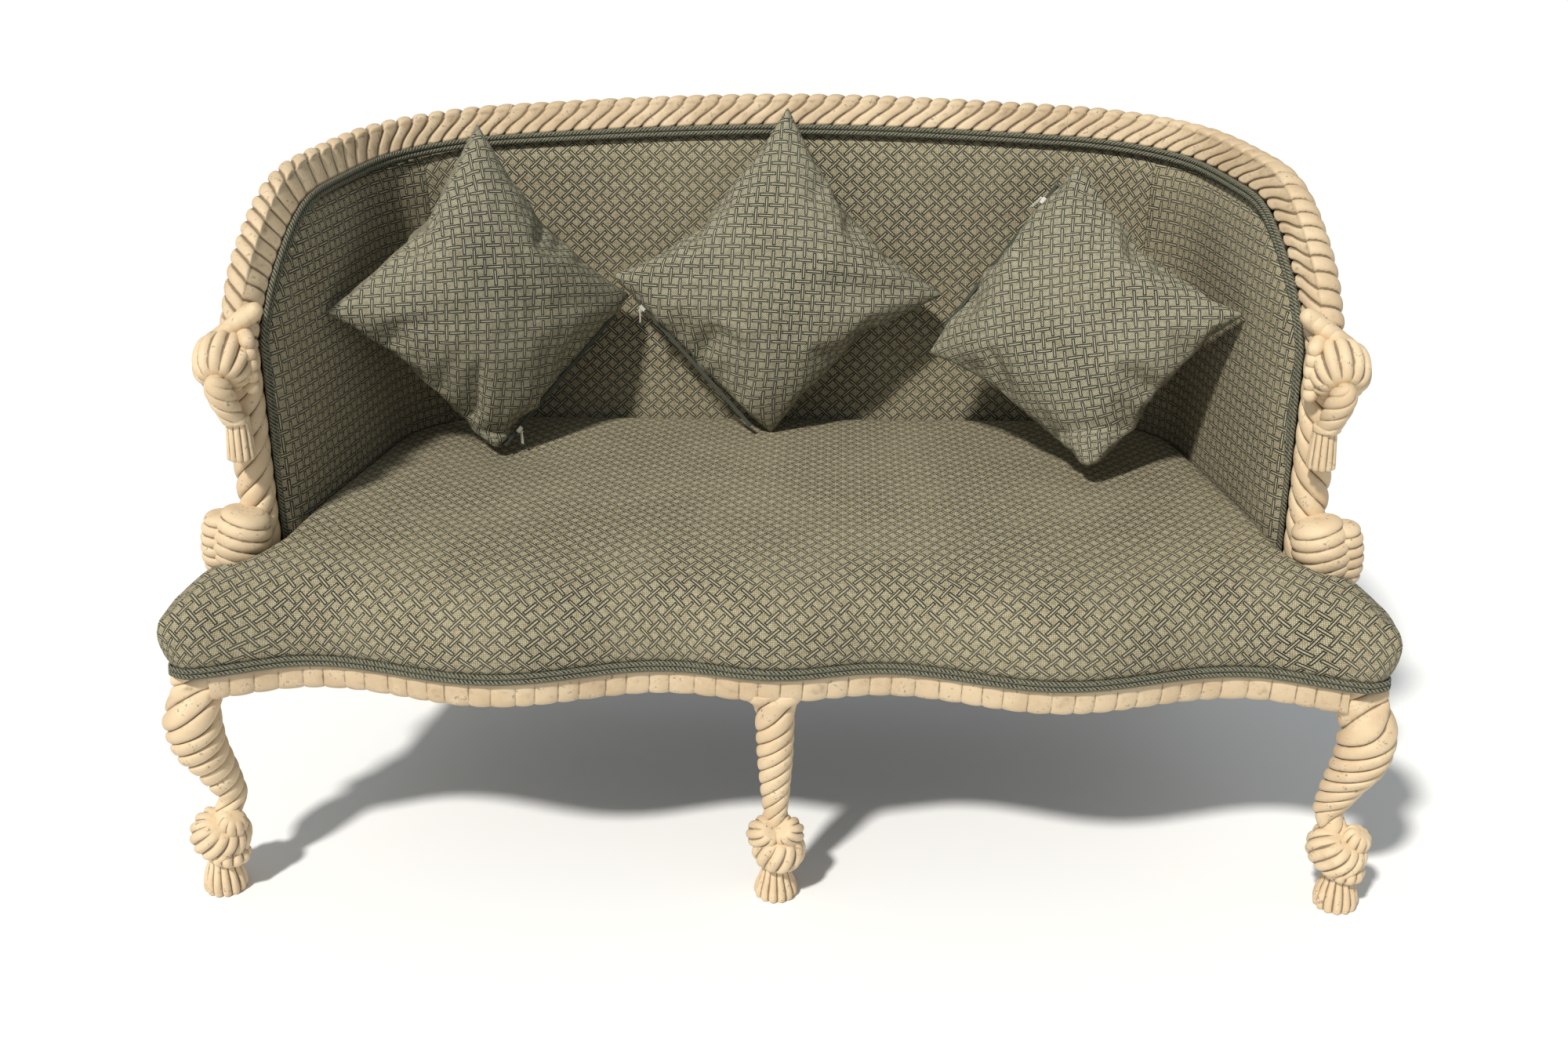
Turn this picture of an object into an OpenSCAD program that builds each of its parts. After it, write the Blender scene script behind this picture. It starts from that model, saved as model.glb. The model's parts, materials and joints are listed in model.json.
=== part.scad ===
// Two-seat sofa with a rope-carved show frame: serpentine seat front, one
// continuous rail over back and arms, knots, tassels, five legs, and three
// loose square cushions standing on a point. Units are millimetres, X to the
// sitter's left seen from the front (right in the picture), Y to the rear.

/* [Whole] */
// front to rear, from the seat edge bulge to the back of the rail
overall_depth = 686; // [600:1:800]
// height of the rail centre line at the middle of the back
rail_centre_z = 868; // [780:1:950]

/* [Rail] */
// radius over the strands of the rail and the posts
rail_r = 23.5; // [18:0.5:30]
// length along the rail for one full turn of a strand
rail_lead = 108; // [70:1:160]
// half distance between the two post axes
arm_half_w = 648; // [560:1:720]
// distance of the post axes in front of the middle of the sofa
post_front = 150; // [100:1:220]
// angle by which each arm opens to the front
arm_splay = 11.5; // [0:0.5:20]
// radius of the rail at the rear corners
corner_r = 205; // [120:1:300]
// fall of the rail from the middle of the back to the start of the bend
rail_fall = 32; // [0:1:80]
// horizontal length of the bend at the front of an arm
bend_len = 170; // [100:1:240]
// height of that bend
bend_drop = 165; // [100:1:240]
// fullness of the bend, 2 is a plain quarter ellipse
bend_full = 1.4; // [1.1:0.05:2.5]
// depth of the grooves between the strands
groove = 4.2; // [1:0.1:8]

/* [Seat] */
// height of the underside of the seat rails
rail_under_z = 316; // [280:1:360]
// height of the seat rails
seat_rail_h = 70; // [50:1:90]
// thickness of the front and back seat rails
seat_rail_t = 36; // [24:1:44]
// height of the carved strip under the seat
apron_h = 35; // [24:1:50]
// thickness of the carved strip
apron_t = 44; // [26:1:56]
// height of the welt along the lower edge of the seat
welt_h = 11; // [8:1:16]
// how far the welt stands out
welt_out = 7; // [3:0.5:10]
// thickness of the upholstery over the rails
skirt_t = 8; // [5:1:12]
// half width of the seat at its front corners
seat_half_w = 734; // [660:1:800]
// height of the middle of the seat
crown_z = 445; // [420:1:480]

/* [Legs] */
// half width of the square block on top of a corner leg
block_half = 32; // [26:1:36]
// length along a leg for one full turn of a strand
leg_lead = 74; // [50:1:110]
// distance of the corner leg axes from the middle
leg_x = 702; // [640:1:760]
// distance of the front leg axes in front of the middle
leg_front = 299; // [250:1:330]

/* [Carving] */
// radius of the knot at the top of a post
upper_knot_r = 33; // [24:0.5:40]
// height of its centre
upper_knot_z = 660; // [600:1:700]
// radius of the knot at the foot of a post
lower_knot_r = 38; // [28:0.5:44]
// height of its centre
lower_knot_z = 437; // [425:1:500]
// play of the knots round the post
cope_gap = 0.2; // [0.1:0.05:0.6]

/* [Cushions] */
// half side of a scatter cushion
cushion_half = 157; // [130:1:190]
// full thickness of a scatter cushion at its middle
cushion_t = 118; // [80:1:160]
// how far the free sides are drawn in at their middle
drawn_in = 9; // [0:1:20]
// length of a zip
zip_len = 236; // [160:1:290]
// width of a zip chain
zip_w = 5; // [3:0.5:8]
// thickness of a zip chain
zip_t = 2.4; // [1.6:0.1:4]
// play between slider and chain
zip_play = 0.4; // [0.3:0.05:0.8]
// length of a pull
pull_len = 17; // [12:1:26]

/* [Hidden] */
half_depth = overall_depth / 2;
back_y = half_depth - rail_r;
turn = 90 - arm_splay;
knee_x = arm_half_w - (back_y + post_front) * tan(arm_splay);
flat_half = knee_x - corner_r * tan(turn / 2);
arc_len = corner_r * turn * PI / 180;
arc_c = [flat_half, back_y - corner_r];
arm_len = (arc_c[1] + corner_r * sin(arm_splay) + post_front) / cos(arm_splay);
plan_len = flat_half + arc_len + arm_len;
bend_q = plan_len - bend_len;
bend_top = rail_centre_z - rail_fall;
bend_end = bend_top - bend_drop;
rail_top_z = rail_under_z + seat_rail_h;
apron_z = rail_under_z - apron_h;
cover_z = rail_under_z + welt_h;

paint = [0.86, 0.82, 0.72];
cloth = [0.63, 0.57, 0.42];
plain = [0.80, 0.76, 0.66];
timber = [0.72, 0.56, 0.36];
steel = [0.68, 0.68, 0.66];

// ---- general shapes

// solid through a list of rings, each with the same number of points
module skin(rings) {
    n = len(rings[0]);
    m = len(rings);
    pts = [for (r = rings) for (p = r) p];
    sides = [for (i = [0:m-2]) for (j = [0:n-1]) for (h = [0:1])
        let(a = i*n + j, b = a + n, d = i*n + (j+1) % n, c = d + n)
        h == 0 ? [a, b, c] : [a, c, d]];
    low = [for (j = [0:n-1]) j];
    top = [for (j = [0:n-1]) m*n - 1 - j];
    polyhedron(points = pts, faces = concat([low], sides, [top]), convexity = 8);
}

function smooth(t) = t <= 0 ? 0 : t >= 1 ? 1 : t*t*(3 - 2*t);
function unit(v) = v / norm(v);
function mirror_x(p) = [-p[0], p[1], p[2]];

module both(side) {
    if (side > 0) children();
    else mirror([1, 0, 0]) children();
}

// ---- plan of the rail: q runs from the middle of the back, d is inwards

function turn_at(q) =
    q <= flat_half ? 0 : min(turn, (q - flat_half) / corner_r * 180 / PI);
function plan_n(q) = [sin(turn_at(q)), cos(turn_at(q))];
function plan_t(q) = [cos(turn_at(q)), -sin(turn_at(q))];
function plan(q, d) =
    q <= flat_half ? [q, back_y - d] :
    arc_c + (corner_r - d) * plan_n(q)
        + max(0, q - flat_half - arc_len) * plan_t(q);

// ---- centre line of the rail and the post on one side

bend_steps = 24;
fall_steps = 40;
post_steps = 4;
half_line = concat(
    [for (i = [0:fall_steps-1]) let(t = i / fall_steps)
        [t * bend_q, rail_centre_z - rail_fall * smooth(t)]],
    [for (i = [0:bend_steps]) let(u = 90 * i / bend_steps, e = 2 / bend_full)
        [bend_q + bend_len * pow(sin(u), e),
         bend_end + bend_drop * pow(max(0, cos(u)), e)]],
    [for (i = [1:post_steps])
        [plan_len, bend_end + (rail_top_z - bend_end) * i / post_steps]]);
half_pts = [for (h = half_line) let(p = plan(h[0], 0)) [p[0], p[1], h[1]]];
half_s = [for (i = 0, s = 0; i < len(half_pts);
    s = s + (i + 1 < len(half_pts) ? norm(half_pts[i+1] - half_pts[i]) : 0),
    i = i + 1) s];
axis_table = [for (k = [0:2]) [for (i = [0:len(half_s)-1])
    [half_s[i], half_pts[i][k]]]];
q_table = [for (i = [0:len(half_s)-1]) [half_s[i], half_line[i][0]]];
bend_s = half_s[fall_steps + bend_steps];
foot_s = half_s[len(half_s) - 1];
crest_s = lookup(flat_half, [for (i = [0:len(half_s)-1])
    [half_line[i][0], half_s[i]]]);

function side_of(s) = s < 0 ? -1 : 1;
function axis_pt(s) = let(a = abs(s), p = [for (k = [0:2]) lookup(a, axis_table[k])])
    [side_of(s) * p[0], p[1], p[2]];
function axis_dir(s) = let(e = 3, a = max(-foot_s, s - e), b = min(foot_s, s + e))
    unit(axis_pt(b) - axis_pt(a));
function axis_out(s) = let(n = plan_n(lookup(abs(s), q_table)))
    [side_of(s) * n[0], n[1], 0];

strands = 4;
rope_n = 3 * strands;
// one ring of the four-strand section, turned by the angle a
function rope_ring(c, u, v, r, a) = [for (j = [0:rope_n-1])
    let(w = 360 * j / rope_n + a, k = j % 3 == 0 ? r - groove : r)
    c + k * (cos(w) * u + sin(w) * v)];

module rope(s0, s1, hand) {
    n = round((s1 - s0) / (rail_lead / 8));
    skin([for (i = [0:n]) let(s = s0 + (s1 - s0) * i / n, t = axis_dir(s),
        m = axis_out(s), o = unit(m - (m * t) * t))
        rope_ring(axis_pt(s), o, cross(t, o), rail_r, hand * 360 * s / rail_lead)]);
}

module crest_rail() color(paint) rope(-crest_s, crest_s, -1);
module arm_rail_left() color(paint) rope(-bend_s, -crest_s, -1);
module arm_rail_right() color(paint) rope(crest_s, bend_s, -1);
module arm_post_left() color(paint) rope(-foot_s, -bend_s, 1);
module arm_post_right() color(paint) rope(bend_s, foot_s, -1);

// ---- knots and tassels

lobes = 6;
knot_n = 3 * lobes;
// lobed ball with flat ends; r is the radius, sink the depth between lobes
module knot(r, sink, tilt) {
    ends = 72;
    rows = 6;
    skin([for (i = [0:rows]) let(a = -ends + 2 * ends * i / rows)
        [for (j = [0:knot_n-1]) let(w = 360 * j / knot_n + tilt * i,
            k = (r - (j % 3 == 0 ? sink : 0)) * cos(a))
            [k * cos(w), k * sin(w), r * sin(a)]]]);
}
knot_end = sin(72);

upper_knot_at = [arm_half_w + 8, -post_front - 32, upper_knot_z];
lower_knot_at = [arm_half_w + 20, -post_front - 36, lower_knot_z];

module coped(at, r) {
    difference() {
        translate(at) knot(r, groove, 7);
        translate([arm_half_w, -post_front, at[2] - r])
            cylinder(h = 2 * r, r = rail_r + cope_gap, $fn = 48);
    }
}

tassel_n = 12;
// hanging tassel: neck, ring and grooved skirt, top at z = 0
module tassel(h, r) {
    rows = [[1, 0.66], [0.97, 0.72], [0.9, 0.92], [0.5, 0.97], [0.06, 1], [0, 0.8]];
    neck = [[1.16, 0.98], [1.3, 0.98], [1.34, 0.68], [1.7, 0.68]];
    all_rows = concat([for (i = [len(rows)-1:-1:0]) rows[i]], neck);
    body = h / 1.7;
    translate([0, 0, -h]) skin([for (w = all_rows) [for (j = [0:tassel_n-1])
        let(a = 360 * j / tassel_n, k = r * w[1] * (j % 2 == 0 ? 1 : 0.86))
        [k * cos(a), k * sin(a), body * w[0]]]]);
}
arm_tassel_h = 86;
arm_tassel_r = 13.5;
post_tassel_h = 52;
post_tassel_r = 12.5;
tassel_back = post_front + rail_r + arm_tassel_r + 1.5;

module arm_knot(side) color(paint) both(side) coped(upper_knot_at, upper_knot_r);
module post_knot(side) color(paint) both(side) coped(lower_knot_at, lower_knot_r);
module arm_tassel(side) color(paint) both(side)
    translate([upper_knot_at[0] - 5, -tassel_back,
        upper_knot_z - upper_knot_r * knot_end]) tassel(arm_tassel_h, arm_tassel_r);
module post_tassel(side) color(paint) both(side)
    translate([lower_knot_at[0] + 8, lower_knot_at[1] - 16,
        lower_knot_z - lower_knot_r * knot_end]) tassel(post_tassel_h, post_tassel_r);

// ---- seat outline at the carved strip

wave = [[0, 316], [130, 294], [335, 336], [555, 291], [720, 334], [760, 334]];
function wave_y(x, i = 0) = let(a = wave[i], b = wave[i+1])
    x > b[0] && i < len(wave) - 2 ? wave_y(x, i + 1) :
    -(a[1] + (b[1] - a[1]) * (1 - cos(180 * (x - a[0]) / (b[0] - a[0]))) / 2);

front_x = [for (i = [0:20]) i * 36];
// the seat runs out to its front corners past the post: places beside it
post_y = -post_front;
ear_mid = (seat_half_w + arm_half_w) / 2 - 7;
ear = [[seat_half_w - 2, -322], [seat_half_w, -300], [seat_half_w - 3, -268],
    [seat_half_w - 22, -250], [ear_mid, -238], [arm_half_w + 16, post_y - 74],
    [arm_half_w + 8, post_y - 56], [arm_half_w + 11, post_y - 34],
    [arm_half_w + 18, post_y - 14]];
side_out = 16;
// line inside the posts, past which the seat belongs to its front corners
post_in = arm_half_w - 36;
arm_q = [for (i = [0:3]) plan_len - 12 - i * (arm_len - 12) / 4];
arc_q = [for (i = [0:6]) flat_half + arc_len * (1 - i / 6)];
back_q = [flat_half / 2, 0];
tail_q = concat(arm_q, arc_q, back_q);
front_pts = [for (x = front_x) [x, wave_y(x)]];
half_out = concat(front_pts, ear, [for (q = tail_q) plan(q, -side_out)]);

// outward direction at point i of a half outline
function out_dir(h, i) = let(n = len(h),
    a = i == 0 ? [-h[1][0], h[1][1]] : h[i-1],
    b = i == n - 1 ? [-h[n-2][0], h[n-2][1]] : h[i+1], t = unit(b - a))
    [t[1], -t[0]];
function moved(h, d) = [for (i = [0:len(h)-1]) h[i] + d * out_dir(h, i)];
function closed(h) = concat(h, [for (i = [len(h)-2:-1:1]) [-h[i][0], h[i][1]]]);

module ribbon(d_out, d_in) {
    difference() {
        polygon(closed(moved(half_out, d_out)));
        polygon(closed(moved(half_out, -d_in)));
    }
}

module slab(z0, z1) translate([0, 0, z0]) linear_extrude(z1 - z0) children();

// ---- carved strip and seat rails

far = 900;
rear_leg_q = flat_half + arc_len / 2;
rear_leg_at = plan(rear_leg_q, -4);
rear_block = 28;

module rear_leg_place() translate([rear_leg_at[0], rear_leg_at[1], 0])
    rotate([0, 0, -turn_at(rear_leg_q)]) children();
// serpentine strip between two depths behind the front line
function wave_n(x) = let(m = (wave_y(x + 1) - wave_y(abs(x - 1))) / 2) unit([m, -1]);
front_end = seat_half_w + 40;
function front_row(d, x0) = concat([for (x = front_x) if (x >= x0)
    [x, wave_y(x)] - d * wave_n(x)], [[front_end, wave_y(seat_half_w) + d]]);
module front_strip(x_end, d0, d1) {
    function full(h) = concat([for (i = [len(h)-1:-1:1]) [-h[i][0], h[i][1]]], h);
    front = full(front_row(d0, 0));
    back = full(front_row(d1, 0));
    intersection() {
        polygon(concat(front, [for (i = [len(back)-1:-1:0]) back[i]]));
        translate([-x_end, -far]) square([2 * x_end, far]);
    }
}
module front_apron() color(paint) slab(apron_z, rail_under_z)
    front_strip(leg_x - block_half, 0, apron_t);

side_apron_t = 34;
half_side = plan(rear_leg_q, 0);
apron_cut = [half_side[0] - 60, half_side[1] + 8];
module side_apron_plan() intersection() {
    side_strip(side_out, side_apron_t);
    translate([apron_cut[0], apron_cut[1] - far]) square(far);
}
module side_apron(side) color(paint) both(side) slab(apron_z, rail_under_z)
    side_apron_plan();
// strip along one side, from the corner leg to beyond the rear leg
module side_strip(out, t) {
    h = concat([[seat_half_w, -leg_front + block_half], [seat_half_w - 3, -262]],
        [for (i = [3:len(ear)-1]) ear[i]],
        [for (q = concat(arm_q, arc_q)) plan(q, -out)]);
    inner = concat([for (i = [len(arc_q)-1:-1:0]) plan(arc_q[i], t - out)],
        [for (i = [len(arm_q)-1:-1:1]) plan(arm_q[i], t - out)],
        [[post_in, post_y], [post_in + 16, post_y - 55],
            [leg_x - block_half, -leg_front + block_half]]);
    difference() {
        polygon(concat(h, inner));
        rear_leg_place() square(2 * rear_block, center = true);
    }
}
module rear_apron_plan() difference() {
    for (s = [-1, 1]) both(s) polygon(concat(
        [for (q = concat(arc_q, [0])) plan(q, -side_out)],
        [for (i = [len(arc_q):-1:0]) plan(concat(arc_q, [0])[i], side_apron_t - side_out)]));
    for (s = [-1, 1]) both(s) {
        rear_leg_place() square(2 * rear_block, center = true);
        translate([apron_cut[0], apron_cut[1] - far]) square(far);
    }
}
module rear_apron() color(paint) slab(apron_z, rail_under_z) rear_apron_plan();

rail_end_x = seat_half_w - 24;
rail_in = skirt_t + seat_rail_t;
module front_seat_rail() color(timber) slab(rail_under_z, rail_top_z)
    front_strip(rail_end_x, skirt_t, rail_in);

side_rail_t = 40;
chord_play = 0.8;
rail_out = side_out - skirt_t;
rail_skin = rail_out - chord_play;
brace_x = arm_half_w - 48;
ear_inset = [for (i = [0:len(ear)-1]) i == 4 || i == 5 ? 20 : skirt_t];
back_first = len(arc_q) - 4;
module side_seat_rail(side) color(timber) both(side) slab(rail_under_z, rail_top_z) {
    n0 = len(front_pts);
    ear_side = seat_half_w - 12;
    front = concat([for (p = front_row(rail_in, brace_x - 72)) if (p[0] < ear_side) p],
        [[ear_side, wave_y(seat_half_w) + rail_in]]);
    inner_y = plan(arm_q[1], side_rail_t - rail_out)[1];
    difference() {
    polygon(concat([[front[0][0], inner_y]], front,
        [for (i = [2:len(ear)-1]) ear[i] - ear_inset[i] * out_dir(half_out, n0 + i)],
        [for (q = concat(arm_q, [for (i = [0:back_first]) arc_q[i]])) plan(q, -rail_skin)],
        [for (i = [back_first:-1:0]) plan(arc_q[i], side_rail_t - rail_out)],
        [for (i = [len(arm_q)-1:-1:1]) plan(arm_q[i], side_rail_t - rail_out)]));
    translate([0, -far]) square([brace_x, far + inner_y]);
    }
}
module back_seat_rail() color(timber) slab(rail_under_z, rail_top_z) {
    qs = concat([for (i = [back_first:len(arc_q)-1]) arc_q[i]], [0]);
    for (s = [-1, 1]) both(s) polygon(concat([for (q = qs) plan(q, -rail_skin)],
        [for (i = [len(qs)-1:-1:0]) plan(qs[i], side_rail_t - rail_out)]));
}
cross_x = 250;
cross_w = 36;
cross_in = rail_in + 3;
back_in = back_y - side_rail_t + rail_out;
module seat_cross_rails() color(timber) for (s = [-1, 1])
    slab(rail_under_z, rail_top_z - 22) polygon([
        [s * cross_x - cross_w / 2, wave_y(cross_x - s * cross_w / 2) + cross_in],
        [s * cross_x + cross_w / 2, wave_y(cross_x + s * cross_w / 2) + cross_in],
        [s * cross_x + cross_w / 2, back_in], [s * cross_x - cross_w / 2, back_in]]);

brace_leg = 84;
brace_h = 44;
brace_y = wave_y(brace_x - 0.7 * brace_leg) + rail_in - 4;
module corner_blocks() color(timber) for (s = [-1, 1]) both(s)
    slab(rail_under_z, rail_under_z + brace_h) difference() {
        polygon([[brace_x, brace_y], [brace_x, brace_y + brace_leg],
            [brace_x - brace_leg, brace_y]]);
        front_strip(rail_end_x, 0, rail_in);
    }
screw_r = 4.5;
module corner_screws() color(steel) for (s = [-1, 1]) both(s)
    for (k = [0.3, 0.7])
        translate([brace_x - brace_leg * k, brace_y + brace_leg * (1 - k),
            rail_under_z + brace_h / 2]) rotate([0, 90, 135])
            cylinder(h = 3, r = screw_r, $fn = 24);

upright_w = 44;
upright_t = 11.5;
upright_in = 3.7;
upright_x = [130, flat_half - 32];
module upright_plan(x) for (s = [-1, 1])
    translate([s * x - upright_w / 2, back_y - upright_in]) square([upright_w, upright_t]);
module back_uprights() color(timber) for (x = upright_x)
    slab(rail_top_z, under_z(x + upright_w / 2)) upright_plan(x);
module back_tacking_rail() color(timber) slab(rail_top_z + 44, rail_top_z + 84)
    difference() {
        translate([-flat_half + 8, back_y - upright_in])
            square([2 * flat_half - 16, upright_t]);
        for (x = upright_x) upright_plan(x);
    }

strap_w = 50;
strap_t = 2;
strap_lap = 22;
strap_pitch = 104;
module webbing_long() color([0.55, 0.42, 0.28]) for (i = [-4:4]) {
    x = i * strap_pitch;
    y0 = max(wave_y(abs(x) - strap_w / 2), wave_y(abs(x) + strap_w / 2)) + rail_in;
    translate([x - strap_w / 2, y0 - strap_lap, rail_top_z])
        cube([strap_w, back_in - y0 + 2 * strap_lap, strap_t]);
}
// half width between the side rails at a distance behind the middle
function clear_x(y) = let(r = corner_r - side_rail_t + rail_out, h = y - arc_c[1])
    min(brace_x, arm_half_w - (y + post_front) * tan(arm_splay)
        - (side_rail_t - rail_out) / cos(arm_splay),
        h > 0 && h < r ? arc_c[0] + sqrt(r*r - h*h) : brace_x);
module webbing_cross() color([0.55, 0.42, 0.28]) for (i = [0:3]) {
    y = -180 + i * strap_pitch;
    x = clear_x(y + strap_w) - chord_play;
    translate([-x, y, rail_top_z - strap_t]) cube([2 * x, strap_w, strap_t]);
}
hessian_t = 1.5;
hessian_z = rail_top_z + strap_t;
pad_z = hessian_z + hessian_t;
pad_top = 405;

// ---- upholstered seat: rings from the lower edge over the crown and back under

panel_in = 38;
lean = 14;
function lean_at(q) = lean * pow(plan_n(q)[1], 2);
seat_join = [[arm_half_w + 7, post_y - 86], [arm_half_w - 14, post_y - 66],
    [arm_half_w - 30, post_y - 40], [arm_half_w - 40, post_y - 12]];
join_q = concat([for (i = [0:2]) plan_len - 60 - i * (arm_len - 40) / 3], arc_q, back_q);
half_seat = concat(front_pts, [for (i = [0:4]) ear[i]], seat_join,
    [for (q = join_q) plan(q, panel_in + 2 + lean_at(q))]);
skirt_n = len(front_pts) + 5;
// point that a place on the outline moves to when it is inset
ear_in = [arm_half_w - 148, post_y - 75];
function aim(p) = abs(p[0]) > post_in && p[1] < post_y - 30 ?
    [sign(p[0]) * ear_in[0], ear_in[1]] : [p[0] * 0.62, -15];
function inset(p, d) = let(v = aim(p) - p, n = norm(v)) p + v / n * min(d, 0.8 * n);
// inset of the hollow for the padding, which runs straight past the front corners
ear_first = len([for (x = front_x) if (x <= post_in - 36) x]) - 1;
ear_last = skirt_n + len(seat_join) - 1;
function deep(i, d) = i <= ear_first || i >= ear_last ? inset(half_seat[i], d) :
    let(f = (i - ear_first) / (ear_last - ear_first))
    (1 - f) * inset(half_seat[ear_first], d) + f * inset(half_seat[ear_last], d);
// inset and height of each ring at the front and at the rear
cover_rows = [[0, cover_z, 0, rail_top_z + 5], [-4, 345, 0, rail_top_z + 10],
    [3, 385, 1, 402], [22, 411, 12, 415], [62, 428, 44, 426], [150, 440, 120, 438]];
skirt_play = 0.3;
near = 24;
under_rows = [[skirt_t - skirt_play, cover_z, 3, pad_z + 0.2],
    [skirt_t - skirt_play, rail_top_z + skirt_play, 7, pad_z], [near - 2, pad_z, 12, pad_z]];
side_fall = 14;
fall_z = crown_z - 34;
function seat_pt(i, d, z) = let(p = half_seat[i],
    m = z > pad_z - 1 && z <= pad_top && d >= pad_inset ? deep(i, d) :
        abs(d) < near && i < skirt_n ? p - d * out_dir(half_seat, i) : inset(p, d),
    f = max(0, z - fall_z) / (crown_z - fall_z) * side_fall * pow(m[0] / 600, 2))
    [m[0], m[1], z - f];
function seat_ring(row) = let(h = [for (i = [0:len(half_seat)-1])
    i < skirt_n ? seat_pt(i, row[0], row[1]) : seat_pt(i, row[2], row[3])])
    concat(h, [for (i = [len(h)-2:-1:1]) mirror_x(h[i])]);
pad_inset = 50;
module seat_cover() color(cloth) skin(concat(
    [seat_ring([pad_inset + 2, pad_top, pad_inset + 2, pad_top]),
     seat_ring([pad_inset, pad_z, pad_inset, pad_z])],
    [for (i = [2:-1:0]) seat_ring(under_rows[i])],
    [for (r = cover_rows) seat_ring(r)],
    [seat_ring([260, crown_z, 240, crown_z])]));
module pad_plan(d) polygon(closed([for (i = [0:len(half_seat)-1]) deep(i, d)]));
module seat_hessian() color([0.66, 0.53, 0.35]) slab(hessian_z, pad_z) pad_plan(40);
module seat_padding() color([0.88, 0.85, 0.76]) slab(pad_z, pad_top) pad_plan(pad_inset + 3);
module seat_welt() color(cloth) {
    slab(rail_under_z, rail_under_z + welt_h / 2) ribbon(welt_out, skirt_t - 1);
    slab(rail_under_z + welt_h / 2, cover_z) ribbon(welt_out - 1.5, skirt_t - 1);
}
dust_t = 1.5;
module dust_cover() color([0.2, 0.2, 0.2]) slab(rail_under_z - dust_t, rail_under_z)
    difference() {
        polygon([for (p = closed(half_out)) inset(p, side_apron_t - 4)]);
        front_strip(seat_half_w + 10, 0, apron_t + dust_t);
        rear_apron_plan();
        for (s = [-1, 1]) both(s) {
            side_apron_plan();
            translate([brace_x, -far]) square([far, far - post_front]);
            rear_leg_place() square(2 * rear_block + 2, center = true);
        }
    }

// ---- inside and outside panels of back and arms

seam_q = flat_half + arc_len * 0.5;
panel_gap = 1.5;
// underside of the rail above a plan position, and where the bend turns down
clear_r = rail_r + 1;
function under_pt(i) = let(s = half_s[i], t = axis_dir(s), p = axis_pt(s),
    up = unit([-t[0] * t[2], -t[1] * t[2], t[0]*t[0] + t[1]*t[1]]))
    [half_line[i][0] - clear_r * (up[2] < 1 ? sqrt(1 - up[2]*up[2]) : 0),
     p[2] - clear_r * up[2]];
under_line = [for (i = [0:fall_steps + bend_steps - 2])
    if (abs(i - fall_steps) > 1) under_pt(i)];
function under_z(q) = lookup(q, under_line);
// rows of a panel section: depth share and height share, bottom to top
inner_rows = [[0.96, 0], [1.04, 0.12], [1, 0.45], [0.84, 0.8], [0.66, 0.955]];
panel_out = 4;
panel_foot = hessian_z;
function panel_ring(q, sx, z1) = let(h = z1 - panel_foot)
    [for (r = concat([[-1, 0]], inner_rows, [[0.4, 1], [-1, 1]]))
        let(d = r[0] < 0 ? panel_out : panel_out + (panel_in - panel_out) * r[0]
                + lean_at(q) * (1 - r[1]) * (r[1] < 1 ? 1 : 0),
            p = plan(q, d)) [sx * p[0], p[1], panel_foot + h * r[1]]];
back_st = concat([for (i = [0:3]) flat_half * i / 3.01],
    [for (i = [0:4]) flat_half + (seam_q - 1 - flat_half) * i / 4]);
module inside_back() color(plain) skin(concat(
    [for (i = [len(back_st)-1:-1:1]) panel_ring(back_st[i], 1, under_z(back_st[i]))],
    [for (q = back_st) panel_ring(q, -1, under_z(q))]));
arm_tail = 14;
arm_stop = plan_len - clear_r - 1;
arm_st = concat([for (i = [0:3]) seam_q + 1 + (flat_half + arc_len - seam_q) * i / 4],
    [for (i = [0:3]) flat_half + arc_len + 1 + (bend_q - flat_half - arc_len) * i / 4],
    [for (i = [0:arm_tail]) bend_q - 4 + (arm_stop - bend_q + 4) * sin(90 * i / arm_tail)]);
module inside_arm(side) color(plain) both(side)
    skin([for (i = [len(arm_st)-1:-1:0]) panel_ring(arm_st[i], 1, under_z(arm_st[i]))]);

outer_t = 7;
// thin outer panel between two plan positions, following the rail above
module outer_panel(qs, full) {
    rows = [for (q = qs) let(z = under_z(q), a = plan(q, -rail_out - outer_t),
        b = plan(q, -rail_out)) [[a[0], a[1], cover_z], [b[0], b[1], cover_z],
        [b[0], b[1], z], [a[0], a[1], z]]];
    skin(full ? concat([for (i = [len(rows)-1:-1:1]) rows[i]],
        [for (r = rows) [for (p = r) mirror_x(p)]]) : [for (i = [len(rows)-1:-1:0]) rows[i]]);
}
module ear_skirt(side) color(cloth) both(side) slab(cover_z, rail_top_z) {
    n0 = len(front_pts);
    polygon(concat([for (i = [5:len(ear)-1]) half_out[n0 + i]],
        [plan(plan_len - 12, -side_out), plan(arm_stop, -side_out),
         plan(arm_stop, -rail_out), plan(plan_len - 12, -rail_out)],
        [for (i = [len(ear)-1:-1:5]) half_out[n0 + i] - skirt_t * out_dir(half_out, n0 + i)]));
}
module outside_back() color(cloth) outer_panel(back_st, true);
module outside_arm(side) color(cloth) both(side) outer_panel(arm_st, false);

// double welt along the inner side of the rail and down the posts
bead_h = 11;
bead_t = 7;
bead_in = 20.2;
bead_low = 19.8;
module back_welt() color(cloth) {
    last = fall_steps + bend_steps;
    rows = [for (i = concat([for (k = [0:4:fall_steps-1]) k],
            [for (k = [fall_steps:2:last]) k], [last + post_steps]))
        let(s = half_s[i], n = axis_out(s), v = unit(cross(axis_dir(s), n)),
            c = axis_pt(s) - (bead_in + bead_t / 2) * n - bead_low * v)
        [for (k = [[-1, -1], [1, -1], [1, 1], [-1, 1]])
            c + k[0] * bead_t / 2 * n + k[1] * bead_h / 2 * v]];
    skin(concat([for (i = [len(rows)-1:-1:1]) [for (p = rows[i]) mirror_x(p)]], rows));
}

// ---- legs

leg_n = 16;
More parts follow.
